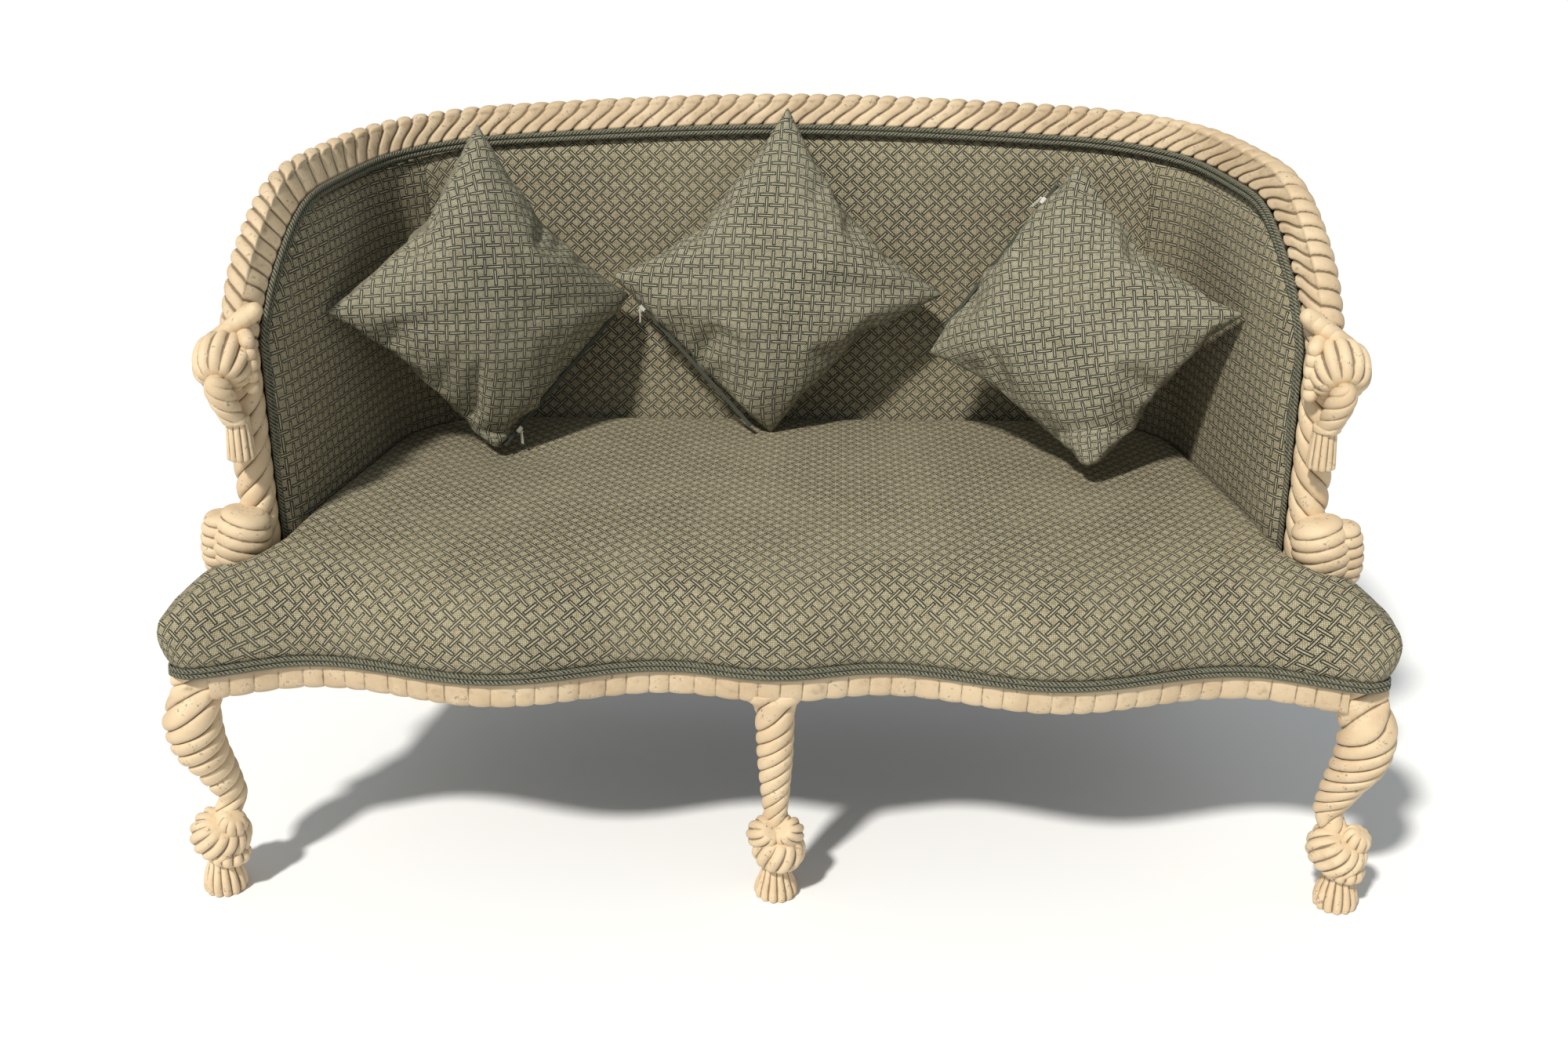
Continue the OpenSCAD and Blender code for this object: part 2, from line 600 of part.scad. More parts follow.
// one ring of a leg: [kind, radius, x, y, z, angle], kind 0 square, 1 rope, 2 knot or foot
function leg_ring(w) = [for (j = [0:leg_n-1]) let(a = 360 * j / leg_n,
    k = w[0] == 0 ? pow(pow(cos(a), 8) + pow(sin(a), 8), -1/8) :
        w[0] == 1 ? (j % 4 == 0 ? 0.84 : 1) : (j % 2 == 0 ? 0.91 : 1))
    [w[2] + w[1] * k * cos(a + w[5]), w[3] + w[1] * k * sin(a + w[5]), w[4]]];
rope_top_z = apron_z;
ankle_z = 112;
leg_turn = 360 / leg_lead;
leg_step = leg_lead / 8;
leg_rings = floor((rope_top_z - ankle_z) / leg_step);
// widths and offsets of the rope, by height
corner_w = [[112, 18], [125, 19], [147, 23.5], [169, 27.5], [191, 32], [213, 34],
    [234, 35], [256, 35], [281, 31.5]];
corner_shift = [[112, -17], [125, -21], [147, -15.5], [169, -9.5], [191, -2], [213, 3],
    [234, 5], [256, 6], [281, 0.5]];
middle_w = [[112, 16], [121, 16], [155, 19], [199, 22.5], [242, 24], [281, 27]];
rear_w = [[112, 17], [147, 20], [200, 25], [281, 27.5]];
rear_shift = [[0, 22], [112, 14], [281, 0]];
// knot and foot below the rope: height and radius
ankle_rows = [[108, 25], [99, 34.5], [84, 38.5], [66, 37], [52, 28], [43, 20.5],
    [37, 21], [26, 25.5], [10, 27.5], [0, 24.5]];
middle_rows = [[108, 22], [99, 31], [82, 35], [62, 34], [46, 27], [33, 20],
    [27, 20.5], [19, 25], [8, 27.5], [0, 24.5]];
module leg(widths, rows, block, hand, d) {
    end_a = -hand * leg_rings * leg_step * leg_turn;
    // d gives the offset of the axis at a height
    skin(concat(
        [for (i = [len(rows)-1:-1:0]) let(r = rows[i], o = d(r[0]))
            leg_ring([2, r[1], o[0], o[1], r[0], end_a])],
        [for (i = [leg_rings:-1:0]) let(z = rope_top_z - i * leg_step, o = d(z))
            leg_ring([1, lookup(z, widths), o[0], o[1], z,
                -hand * i * leg_step * leg_turn])],
        block == 0 ? [] : [for (z = [rope_top_z + 6, rail_under_z])
            leg_ring([0, block, d(z)[0], d(z)[1], z, 0])]));
}
foot_shift = [[0, -4], [43, -6], [84, -7], [112, -17]];
function corner_off(z) = let(k = z < ankle_z ? lookup(z, foot_shift) :
    z > rope_top_z ? 0 : lookup(z, corner_shift)) [k, -k];
module front_leg(side) color(paint) both(side) translate([leg_x, -leg_front, 0])
    leg(corner_w, ankle_rows, block_half, side, function(z) corner_off(z));
middle_front = wave[0][1] - 27;
module front_leg_centre() color(paint) translate([0, -middle_front, 0])
    leg(middle_w, middle_rows, 0, 1, function(z) [0, 0]);
module rear_leg(side) color(paint) both(side) rear_leg_place()
    leg(rear_w, ankle_rows, rear_block, side, function(z) [0, lookup(z, rear_shift)]);

// ---- scatter cushions with zips

diag = cushion_half * sqrt(2);
// place, yaw, lean, roll and spin of each cushion; spin chooses the zipped side
poses = [[[-402.2, 115.4, 654.5], [35.3, -7.4, 6.4], -90],
    [[-11.5, 214.4, 651.5], [0.1, -12, 2.9], 0],
    [[391.3, 74.5, 632.9], [-31.9, -24.4, -16.5], 90]];
slider_at = [-91, -102, -94];
pull_turn = [-38.6, 47.9, 78];
module posed(i) translate(poses[i][0]) rotate([0, 0, poses[i][1][0]])
    rotate([poses[i][1][1], 0, 0]) rotate([0, poses[i][1][2] + 45 + poses[i][2], 0])
    rotate([90, 0, 0]) children();

grid = 14;
function share(i) = sin(90 * (2 * i / grid - 1));
// crown over a square with three sides drawn in and the zipped side straight
function pillow_pt(i, j, up) = let(u = share(i), v = share(j),
    w = pow(max(0, (1 - u*u) * (1 - v*v)), 0.42))
    [u * (cushion_half - drawn_in * (1 - v*v)),
     v * (cushion_half - (v > 0 ? drawn_in * (1 - u*u) : 0)), up * w * cushion_t / 2];
function inner_i(k) = k > 0 && k < grid;
function pillow_id(i, j, up) = up > 0 || !(inner_i(i) && inner_i(j)) ?
    i * (grid + 1) + j : (grid + 1) * (grid + 1) + (i - 1) * (grid - 1) + j - 1;
module pillow() {
    pts = concat([for (i = [0:grid]) for (j = [0:grid]) pillow_pt(i, j, 1)],
        [for (i = [1:grid-1]) for (j = [1:grid-1]) pillow_pt(i, j, -1)]);
    faces = [for (up = [1, -1]) for (i = [0:grid-1]) for (j = [0:grid-1]) for (h = [0, 1])
        let(a = pillow_id(i, j, up), b = pillow_id(i + 1, j, up),
            c = pillow_id(i + 1, j + 1, up), d = pillow_id(i, j + 1, up),
            same = (i < grid / 2) == (j < grid / 2),
            f = same ? (h == 0 ? [a, c, b] : [a, d, c]) : (h == 0 ? [a, d, b] : [b, d, c]))
        up > 0 ? f : [f[2], f[1], f[0]]];
    polyhedron(points = pts, faces = faces, convexity = 4);
}
module cushion(i) color(cloth) posed(i) pillow();

brass = [0.62, 0.55, 0.38];
stop_len = 3;
stop_t = zip_t + 2;
module zip(i) color(brass) posed(i) translate([0, -cushion_half - zip_w, 0]) {
    translate([-zip_len / 2, 0, -zip_t / 2]) cube([zip_len, zip_w, zip_t]);
    for (s = [-1, 1]) translate([s * (zip_len + stop_len) / 2 - stop_len / 2, 0, -stop_t / 2])
        cube([stop_len, zip_w, stop_t]);
}
slider_len = 9;
wall = 1.2;
lug_l = 4;
lug_h = 4.4;
lug_t = 2.4;
wire = 1.3;
hole_r = wire / 2 + 0.35;
slider_low = -cushion_half - zip_w - zip_play - wall;
pivot_v = slider_low - lug_h / 2;
module slider(i) color(brass) posed(i) translate([slider_at[i], 0, 0]) difference() {
    out_t = zip_t + 2 * (zip_play + wall);
    union() {
        translate([-slider_len / 2, slider_low, -out_t / 2])
            cube([slider_len, zip_w + zip_play + wall - 0.8, out_t]);
        translate([-lug_l / 2, slider_low - lug_h, -lug_t / 2]) cube([lug_l, lug_h, lug_t]);
    }
    translate([-slider_len, slider_low + wall, -zip_t / 2 - zip_play])
        cube([2 * slider_len, 2 * zip_w, zip_t + 2 * zip_play]);
    translate([0, pivot_v, -lug_t]) cylinder(h = 2 * lug_t, r = hole_r, $fn = 24);
}
pull_in = lug_t + 0.8;
pull_w = pull_in + 2 * wire;
module pull(i) color(brass) posed(i) translate([slider_at[i], pivot_v, 0])
    rotate([0, 0, pull_turn[i]]) {
    translate([0, 0, -pull_w / 2]) cylinder(h = pull_w, r = wire / 2, $fn = 24);
    rotate([0, 90, 0]) translate([0, 0, -wire / 2]) linear_extrude(wire) difference() {
        translate([-pull_w / 2, -pull_len]) square([pull_w, pull_len]);
        translate([-pull_in / 2, -pull_len + wire]) square([pull_in, pull_len]);
    }
}

crest_rail();
arm_rail_left();
arm_rail_right();
arm_post_left();
arm_post_right();
arm_knot(-1);  // arm_knot_left
arm_knot(1);  // arm_knot_right
arm_tassel(-1);  // arm_tassel_left
arm_tassel(1);  // arm_tassel_right
post_knot(-1);  // post_knot_left
post_knot(1);  // post_knot_right
post_tassel(-1);  // post_tassel_left
post_tassel(1);  // post_tassel_right
front_apron();
side_apron(-1);  // side_apron_left
side_apron(1);  // side_apron_right
rear_apron();
front_leg(-1);  // front_leg_left
front_leg_centre();
front_leg(1);  // front_leg_right
rear_leg(-1);  // rear_leg_left
rear_leg(1);  // rear_leg_right
front_seat_rail();
side_seat_rail(-1);  // side_seat_rail_left
side_seat_rail(1);  // side_seat_rail_right
back_seat_rail();
seat_cross_rails();
corner_blocks();
corner_screws();
back_uprights();
back_tacking_rail();
webbing_long();
webbing_cross();
seat_hessian();
seat_padding();
seat_cover();
seat_welt();
ear_skirt(-1);  // ear_skirt_left
ear_skirt(1);  // ear_skirt_right
inside_back();
inside_arm(-1);  // inside_arm_left
inside_arm(1);  // inside_arm_right
outside_back();
outside_arm(-1);  // outside_arm_left
outside_arm(1);  // outside_arm_right
back_welt();
dust_cover();
cushion(0);  // cushion_left
cushion(1);  // cushion_centre
cushion(2);  // cushion_right
zip(0);  // zip_left
zip(1);  // zip_centre
zip(2);  // zip_right
slider(0);  // slider_left
slider(1);  // slider_centre
slider(2);  // slider_right
pull(0);  // pull_left
pull(1);  // pull_centre
pull(2);  // pull_right
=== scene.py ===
import json
import math
import bpy
import numpy as np
from mathutils import Matrix, Vector
from mathutils.geometry import delaunay_2d_cdt


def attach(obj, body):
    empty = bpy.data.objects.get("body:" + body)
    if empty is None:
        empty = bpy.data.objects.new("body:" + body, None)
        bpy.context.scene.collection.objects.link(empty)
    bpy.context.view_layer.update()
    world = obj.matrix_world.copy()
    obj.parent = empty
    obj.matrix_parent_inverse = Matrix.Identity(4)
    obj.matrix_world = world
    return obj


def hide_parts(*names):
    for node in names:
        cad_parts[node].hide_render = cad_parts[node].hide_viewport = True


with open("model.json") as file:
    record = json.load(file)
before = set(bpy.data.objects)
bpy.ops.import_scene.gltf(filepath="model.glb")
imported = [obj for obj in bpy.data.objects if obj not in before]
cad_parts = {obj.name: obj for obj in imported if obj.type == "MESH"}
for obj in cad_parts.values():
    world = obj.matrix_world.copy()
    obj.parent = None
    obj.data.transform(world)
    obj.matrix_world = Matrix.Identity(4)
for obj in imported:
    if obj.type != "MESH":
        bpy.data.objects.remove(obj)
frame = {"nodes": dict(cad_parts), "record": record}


def bounds_of(objects):
    bpy.context.view_layer.update()
    lo, hi = np.full(3, 1e9), np.full(3, -1e9)
    for o in objects:
        co = np.empty(len(o.data.vertices) * 3)
        o.data.vertices.foreach_get("co", co)
        m = np.array(o.matrix_world)
        co = co.reshape(-1, 3) @ m[:3, :3].T + m[:3, 3]
        lo, hi = np.minimum(lo, co.min(0)), np.maximum(hi, co.max(0))
    return [lo.tolist(), hi.tolist()]


cad_bounds = bounds_of(frame["nodes"].values())
BODY = "frame"
shown, taken = [], set()

# ---------------------------------------------------------------- sizes, mm
RAIL_R, POST_LEAD, STRANDS = 23.5, 112.0, 4        # rope radius, length of one turn on the posts
RIDGE, BEAD_AT = 118.0, 205.0                      # degrees round the rail from its outer side
RAIL_DEPTH, INNER_FACE, FULLER = 0.27, 17.0, 3.6   # groove, flat face from the middle, extra on the outside
AW, PF, SPLAY = 648.0, 150.0, math.radians(11.5)   # arms: half width and place of the posts, splay
CR, BACK_Y = 205.0, 319.5                          # corner radius in plan, line of the back
ZC, FALL = 868.0, 32.0                             # height of the crest, fall along back and arm
BL, BD, BF = 170.0, 165.0, 1.4                     # bend at the arm's end: length, drop, power of its curve
TOP_Z, SIDE_OUT, COVER_Z = 386.0, 16.0, 327.0      # foot of the posts, outer cloth's offset and lower edge
TURN = math.pi / 2 - SPLAY
KX = AW - (BACK_Y + PF) * math.tan(SPLAY)
FLAT = KX - CR * math.tan(TURN / 2)
ARC = CR * TURN
AC = np.array([FLAT, BACK_Y - CR])
ARM = (AC[1] + CR * math.sin(SPLAY) + PF) / math.cos(SPLAY)
PLAN = FLAT + ARC + ARM
BQ = PLAN - BL
B_TOP = ZC - FALL
B_END = B_TOP - BD


def turn_at(q):
    return np.clip((np.asarray(q, float) - FLAT) / CR, 0, TURN)


def plan_n(q):
    a = turn_at(q)
    return np.stack([np.sin(a), np.cos(a)], -1)


def plan_t(q):
    a = turn_at(q)
    return np.stack([np.cos(a), -np.sin(a)], -1)


def plan(q, d):
    """Plan point at q, d inside the rail's line."""
    q, d = np.broadcast_arrays(np.asarray(q, float), np.asarray(d, float))
    n, t = plan_n(q), plan_t(q)
    flat = np.stack([q, BACK_Y - d], -1)
    bent = AC + (CR - d)[..., None] * n + np.maximum(0, q - FLAT - ARC)[..., None] * t
    return np.where((q <= FLAT)[..., None], flat, bent)


def smooth(t):
    t = np.clip(t, 0, 1)
    return t * t * (3 - 2 * t)


def lengths(c):
    """Length along the points c, from 0."""
    return np.concatenate([[0], np.cumsum(np.linalg.norm(np.diff(c, axis=0), axis=1))])


# centre line of rail and post on one side, then the whole line by length
_t = np.linspace(0, 1, 160)
_u = np.radians(np.linspace(0, 90, 140))[1:]
_e = 2 / BF
hq = np.concatenate([_t * BQ, BQ + BL * np.sin(_u) ** _e, np.full(40, PLAN)])
hz = np.concatenate([ZC - FALL * smooth(_t), B_END + BD * np.maximum(0, np.cos(_u)) ** _e,
                     np.linspace(B_END, TOP_Z, 41)[1:]])
hp = np.column_stack([plan(hq, 0), hz])
hs = lengths(hp)
# the corner between back and arm is eased by a running mean
_w = np.exp(-np.linspace(-2.5, 2.5, 41) ** 2 / 2)
_near = hs[:, None] + np.linspace(-85, 85, 41)
_even = np.stack([np.interp(_near, hs, hp[:, k]) @ _w / _w.sum() for k in range(3)], -1)
hp += (_even - hp) * (smooth((hs - 560) / 110) * smooth((985 - hs) / 90))[:, None]
FOOT_S = hs[-1]
BEND_S = np.interp(B_END + 0.01, hz[::-1], hs[::-1])
CREST_S = np.interp(FLAT, hq[:160], hs[:160])


def axis_pt(s):
    s = np.asarray(s, float)
    p = np.stack([np.interp(np.abs(s), hs, hp[:, k]) for k in range(3)], -1)
    p[..., 0] *= np.where(s < 0, -1, 1)
    return p


def axis_out(s):
    s = np.asarray(s, float)
    n = plan_n(np.interp(np.abs(s), hs, hq))
    return np.stack([n[..., 0] * np.where(s < 0, -1, 1), n[..., 1], np.zeros_like(s)], -1)


def unit(v):
    return v / np.linalg.norm(v, axis=-1, keepdims=True)


def axis_dir(s):
    return unit(axis_pt(np.minimum(FOOT_S, s + 4)) - axis_pt(np.maximum(-FOOT_S, s - 4)))


def axis_frame(s):
    """Outward and upward unit vectors, square to the rail at s."""
    t, o = axis_dir(s), axis_out(s)
    o = unit(o - (o * t).sum(-1, keepdims=True) * t)
    return o, np.cross(t, o)


# ---------------------------------------------------------------- meshes
def make(name, verts, faces, mat, replaces, uv=None, body=BODY):
    """Object from vertices, and a uv pair for each, in mm. It rides on body and stands for the nodes it replaces."""
    me = bpy.data.meshes.new(name)
    me.from_pydata((np.asarray(verts, float) / 1000).tolist(), [], [list(map(int, f)) for f in faces])
    me.validate()
    if uv is not None:
        layer = me.uv_layers.new(name="UVMap")
        idx = np.empty(len(me.loops), int)
        me.loops.foreach_get("vertex_index", idx)
        layer.data.foreach_set("uv", (np.asarray(uv)[idx] / 1000).ravel())
    me.polygons.foreach_set("use_smooth", np.full(len(me.polygons), True))
    me.update()
    ob = bpy.data.objects.new(name, me)
    bpy.context.scene.collection.objects.link(ob)
    ob.data.materials.append(mat)
    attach(ob, body)
    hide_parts(*replaces)
    taken.update(replaces)
    shown.append(ob)
    return ob


def tube_faces(m, n, caps=True, closed=True, flip=False, base=0):
    """Quads of m rings with n points each, numbered from base."""
    i, j = np.meshgrid(np.arange(m - 1), np.arange(n if closed else n - 1), indexing="ij")
    a = i * n + j
    b = i * n + (j + 1) % n
    f = np.stack([a, b, b + n, a + n], -1).reshape(-1, 4) + base
    if flip:
        f = f[:, ::-1]
    out = f.tolist()
    if caps:
        lo, hi = (np.arange(n)[::-1] + base).tolist(), (np.arange(n) + (m - 1) * n + base).tolist()
        out += [lo[::-1], hi[::-1]] if flip else [lo, hi]
    return out


class Heap:
    """Collects several closed shapes into one mesh."""

    def __init__(self):
        self.v, self.f, self.n = [], [], 0

    def add(self, rings):
        r = np.asarray(rings, float)
        m, n = r.shape[:2]
        self.v.append(r.reshape(-1, 3))
        self.f += tube_faces(m, n, base=self.n)
        self.n += m * n

    def verts(self):
        return np.concatenate(self.v)


def four_strands(a, r, depth):
    """Outline radius of four flat-topped strands side by side, at angle a, for outer radius r."""
    k = np.abs(np.mod(a + math.pi / 4, math.pi / 2) - math.pi / 4) / (math.pi / 4)
    return r * (1 - depth * (0.45 * k ** 2 + 0.55 * k ** 6))


def rope_rings(c, u, v, r, twist, depth, n=72):
    """Rings of a twisted rope round the points c, in the planes of u and v."""
    a = np.linspace(0, 2 * math.pi, n, endpoint=False)
    twist = np.broadcast_to(twist, len(c))
    k = four_strands(a[None, :], np.broadcast_to(r, len(c))[:, None], depth)
    w = a[None, :] + twist[:, None]
    return c[:, None] + k[..., None] * (np.cos(w)[..., None] * u[:, None] + np.sin(w)[..., None] * v[:, None])


def rail_turns(s):
    """Number of strands passed along the rail: wide ones round the corner, closer together at the front."""
    return np.interp(np.abs(s), [0, 560, 600, 810, 860, 1060], [0, 23.2, 24.6, 31.0, 32.9, 42.9]) * np.sign(s)


def rail_piece(name, s0, s1):
    """Carved rail: round on the outer side, cut flat on the inner side below a ridge, strands running over both."""
    s = np.linspace(s0, s1, int(abs(s1 - s0) / 1.25) + 2)
    o, v = axis_frame(s)
    a = np.linspace(0, 360, 100, endpoint=False)
    # lean of the strands in strand widths: over the outer side, across the flat face, and the rest underneath
    lean_in = np.interp(s, [-740, -540, 385, 650], [0.0, 1.35, 1.4, 1.6])[:, None]
    lean_out = np.interp(s, [-740, -540, 385, 650], [1.8, 0.8, 0.8, 0.4])[:, None]
    outer_side = lean_out * (a / RIDGE - 1)
    inner_face = lean_in * (a - RIDGE) / (BEAD_AT - RIDGE)
    under = lean_in + (STRANDS - lean_in - lean_out) * (a - BEAD_AT) / (360 - BEAD_AT)
    g = np.where(a < RIDGE, outer_side, np.where(a < BEAD_AT, inner_face, under))
    f = np.abs(np.mod(rail_turns(s)[:, None] + g, 1.0) * 2 - 1)
    groove = 0.40 * f ** 2 + 0.60 * f ** 7
    mid = math.radians((RIDGE + BEAD_AT) / 2)
    flat = INNER_FACE / np.maximum(0.2, np.cos(np.radians(a) - mid))
    full = RAIL_R + FULLER * np.clip(1.5 * np.cos(np.radians(a - 60)), 0, 1)
    cut = smooth((BEND_S - 20 - np.abs(s)) / 90)[:, None]      # a round rope again at the knot
    k = RAIL_R * (1 - cut) + np.where(a > RIDGE, np.minimum(full, flat), full)[None] * cut
    k = k * (1 - RAIL_DEPTH * groove)
    w = np.radians(a)[None, :, None]
    h = Heap()
    h.add(axis_pt(s)[:, None] + k[..., None] * (np.cos(w) * o[:, None] + np.sin(w) * v[:, None]))
    return make(name + "_look", h.verts(), h.f, RAIL_PAINT, replaces=[name])


def post_piece(name, s0, s1, hand):
    """Round rope from the rail down to the seat; hand is the sense of its twist."""
    s = np.linspace(s0, s1, int(abs(s1 - s0) / 2.3) + 2)
    o, v = axis_frame(s)
    h = Heap()
    h.add(rope_rings(axis_pt(s), o, v, RAIL_R, hand * 2 * math.pi * s / POST_LEAD + math.pi / 4, 0.22))
    return make(name + "_look", h.verts(), h.f, PAINT, replaces=[name])


def melon(h, at, r, half, lobes, depth, swirl, axis, phase=0.0, n=None, rows=22, power=0.75):
    """Ball of rounded lobes about an axis, added to heap h."""
    n = n or lobes * 10
    lat = np.radians(np.linspace(-86, 86, rows))
    a = np.linspace(0, 2 * math.pi, n, endpoint=False)
    ax = unit(np.array(axis, float))
    x = unit(np.cross([0.0, 1.0, 0.01], ax))
    y = np.cross(ax, x)
    rings = []
    for t in lat:
        w = a * lobes / 2 + phase * lobes / 2
        m = 1 - depth * (1 - np.abs(np.sin(w)) ** 0.62) * min(1, 1.6 * math.cos(t) + 0.15)
        k = r * max(0.02, math.cos(t)) ** power * m
        b = a + swirl * math.sin(t)
        rings.append(np.array(at, float) + ax * half * math.sin(t)
                     + np.outer(k * np.cos(b), x) + np.outer(k * np.sin(b), y))
    h.add(rings)


def coil(h, at, r, half, turns, depth, axis, power, wave=0.0):
    """Ball of rope laid in flat turns one over the other about an axis."""
    lat = np.radians(np.linspace(-84, 84, 90))
    a = np.linspace(0, 2 * math.pi, 40, endpoint=False)
    ax = unit(np.array(axis, float))
    x = unit(np.cross([0.0, 1.0, 0.01], ax))
    y = np.cross(ax, x)
    rings = []
    for t in lat:
        w = np.pi * turns * (math.sin(t) / 2 + 0.5) + wave * np.cos(a)
        m = 1 - depth * (1 - np.abs(np.sin(w)) ** 0.5)
        k = r * max(0.02, math.cos(t)) ** power * m
        rings.append(np.array(at, float) + ax * half * math.sin(t)
                     + np.outer(k * np.cos(a), x) + np.outer(k * np.sin(a), y))
    h.add(rings)


def fluted(h, at, rows, n_flutes, depth):
    """Upright lathe shape with flutes; rows are (z, radius, share of the flutes)."""
    n = n_flutes * 10
    a = np.linspace(0, 2 * math.pi, n, endpoint=False)
    z = np.array([r[0] for r in rows], float)
    zz = np.concatenate([np.linspace(z[i], z[i + 1], 5)[:-1] for i in range(len(z) - 1)] + [[z[-1]]])
    t = np.interp(np.arange(len(zz)) / 4, np.arange(len(z)), np.arange(len(z)))
    rr = spline(np.array([r[1] for r in rows], float), t)
    ff = np.interp(t, np.arange(len(z)), [r[2] for r in rows])
    rings = []
    for zi, ri, fi in zip(zz, rr, ff):
        k = ri * (1 - depth * fi * (1 - np.abs(np.sin(a * n_flutes / 2)) ** 0.7))
        rings.append(np.column_stack([at[0] + k * np.cos(a), at[1] + k * np.sin(a), np.full(n, at[2] + zi)]))
    h.add(rings)


def spline(p, t):
    """Catmull-Rom through the rows of p at the parameters t."""
    p = np.asarray(p, float)
    i = np.clip(np.floor(t).astype(int), 0, len(p) - 2)
    f = t - i
    if p.ndim > 1:
        f = f.reshape(-1, *([1] * (p.ndim - 1)))
    a, b, c, d = (p[np.clip(i + k, 0, len(p) - 1)] for k in (-1, 0, 1, 2))
    return 0.5 * (2 * b + (c - a) * f + (2 * a - 5 * b + 4 * c - d) * f ** 2 + (3 * b - a - 3 * c + d) * f ** 3)


def flip_x(h):
    """Mirror the shapes of heap h from one side to the other."""
    h.v = [v * (-1, 1, 1) for v in h.v]
    h.f = [f[::-1] for f in h.f]


# ---------------------------------------------------------------- shaders
class Net:
    """Small expression builder over a material's nodes."""

    def __init__(self, name):
        self.mat = bpy.data.materials.new(name)
        self.mat.use_nodes = True
        self.t = self.mat.node_tree
        self.bsdf = self.t.nodes["Principled BSDF"]

    def put(self, sock, val):
        if isinstance(val, bpy.types.NodeSocket):
            self.t.links.new(val, sock)
        elif isinstance(val, (tuple, list)) and len(val) == 3 and sock.type == "RGBA":
            sock.default_value = (*val, 1)
        else:
            sock.default_value = val

    def node(self, kind, out=0, props=None, **ins):
        n = self.t.nodes.new(kind)
        for k, v in (props or {}).items():
            setattr(n, k, v)
        for k, v in ins.items():
            self.put(n.inputs[int(k[1:])] if k[0] == "i" and k[1:].isdigit() else n.inputs[k], v)
        return n.outputs[out]

    def m(self, op, a, b=0.0, c=0.0):
        return self.node("ShaderNodeMath", props={"operation": op}, i0=a, i1=b, i2=c)

    def mix(self, f, a, b):
        return self.node("ShaderNodeMix", 2, {"data_type": "RGBA"}, i0=f, i6=a, i7=b)

    def ramp(self, v, lo, hi, a=0.0, b=1.0):
        return self.node("ShaderNodeMapRange", props={"interpolation_type": "SMOOTHSTEP"},
                         i0=v, i1=lo, i2=hi, i3=a, i4=b)

    def noise(self, vec, scale, detail=3.0, rough=0.55):
        return self.node("ShaderNodeTexNoise", i0=vec, Scale=scale, Detail=detail, Roughness=rough)

    def bump(self, h, dist, strength=1.0):
        return self.node("ShaderNodeBump", Height=h, Distance=dist, Strength=strength)

    def finish(self, colour, rough, normal):
        for sock, value in (("Base Color", colour), ("Roughness", rough), ("Normal", normal)):
            self.put(self.bsdf.inputs[sock], value)
        return self.mat


def paint_material(name, tone, crease_shade_width):
    """Worn paint with brown chips, painted shade darkening the creases, and paler on edges. tone scales the paint's own
    colours; the last number sets how far the painted crease shade spreads.
    """
    s = Net(name)

    def paint(*colour):
        return tuple(c * tone for c in colour)

    pos = s.node("ShaderNodeTexCoord", 3)
    point = s.node("ShaderNodeNewGeometry", 7)
    big = s.noise(pos, 9.0, 3.0)
    mid = s.noise(pos, 60.0, 4.0, 0.6)
    fine = s.noise(pos, 260.0, 3.0, 0.6)
    base = s.mix(s.ramp(big, 0.35, 0.65), paint(0.60, 0.445, 0.275), paint(0.71, 0.55, 0.355))
    base = s.mix(s.ramp(mid, 0.48, 0.70, 0.0, 0.5), base, paint(0.76, 0.62, 0.43))
    base = s.mix(s.ramp(s.noise(pos, 30.0, 5.0, 0.65), 0.52, 0.68, 0.0, 0.40), base, (0.46, 0.325, 0.185))
    # painted shade: hollows found by pointiness are darkened to brown, standing in for the shade that falls in creases
    uneven = s.m("ADD", point, s.m("MULTIPLY", s.m("SUBTRACT", mid, 0.5), 0.09))
    crease_shade = s.ramp(uneven, 0.468, 0.498 + crease_shade_width, 1.0, 0.0)
    base = s.mix(s.m("MULTIPLY", crease_shade, 0.86), base, (0.17, 0.115, 0.065))
    chip = s.m("MULTIPLY", s.ramp(fine, 0.57, 0.63), s.ramp(mid, 0.52, 0.62))
    base = s.mix(s.m("MULTIPLY", chip, 0.75), base, (0.20, 0.14, 0.085))
    edge = s.ramp(point, 0.53, 0.60)
    base = s.mix(s.m("MULTIPLY", edge, 0.30), base, (0.80, 0.68, 0.49))
    h = s.m("ADD", s.m("MULTIPLY", mid, 0.6), s.m("MULTIPLY", fine, 0.4))
    return s.finish(base, 0.66, s.bump(h, 0.0012, 0.55))


def wrapped(s, v, period):
    """v folded into -period/2 .. period/2."""
    return s.m("WRAP", v, period / 2, -period / 2)


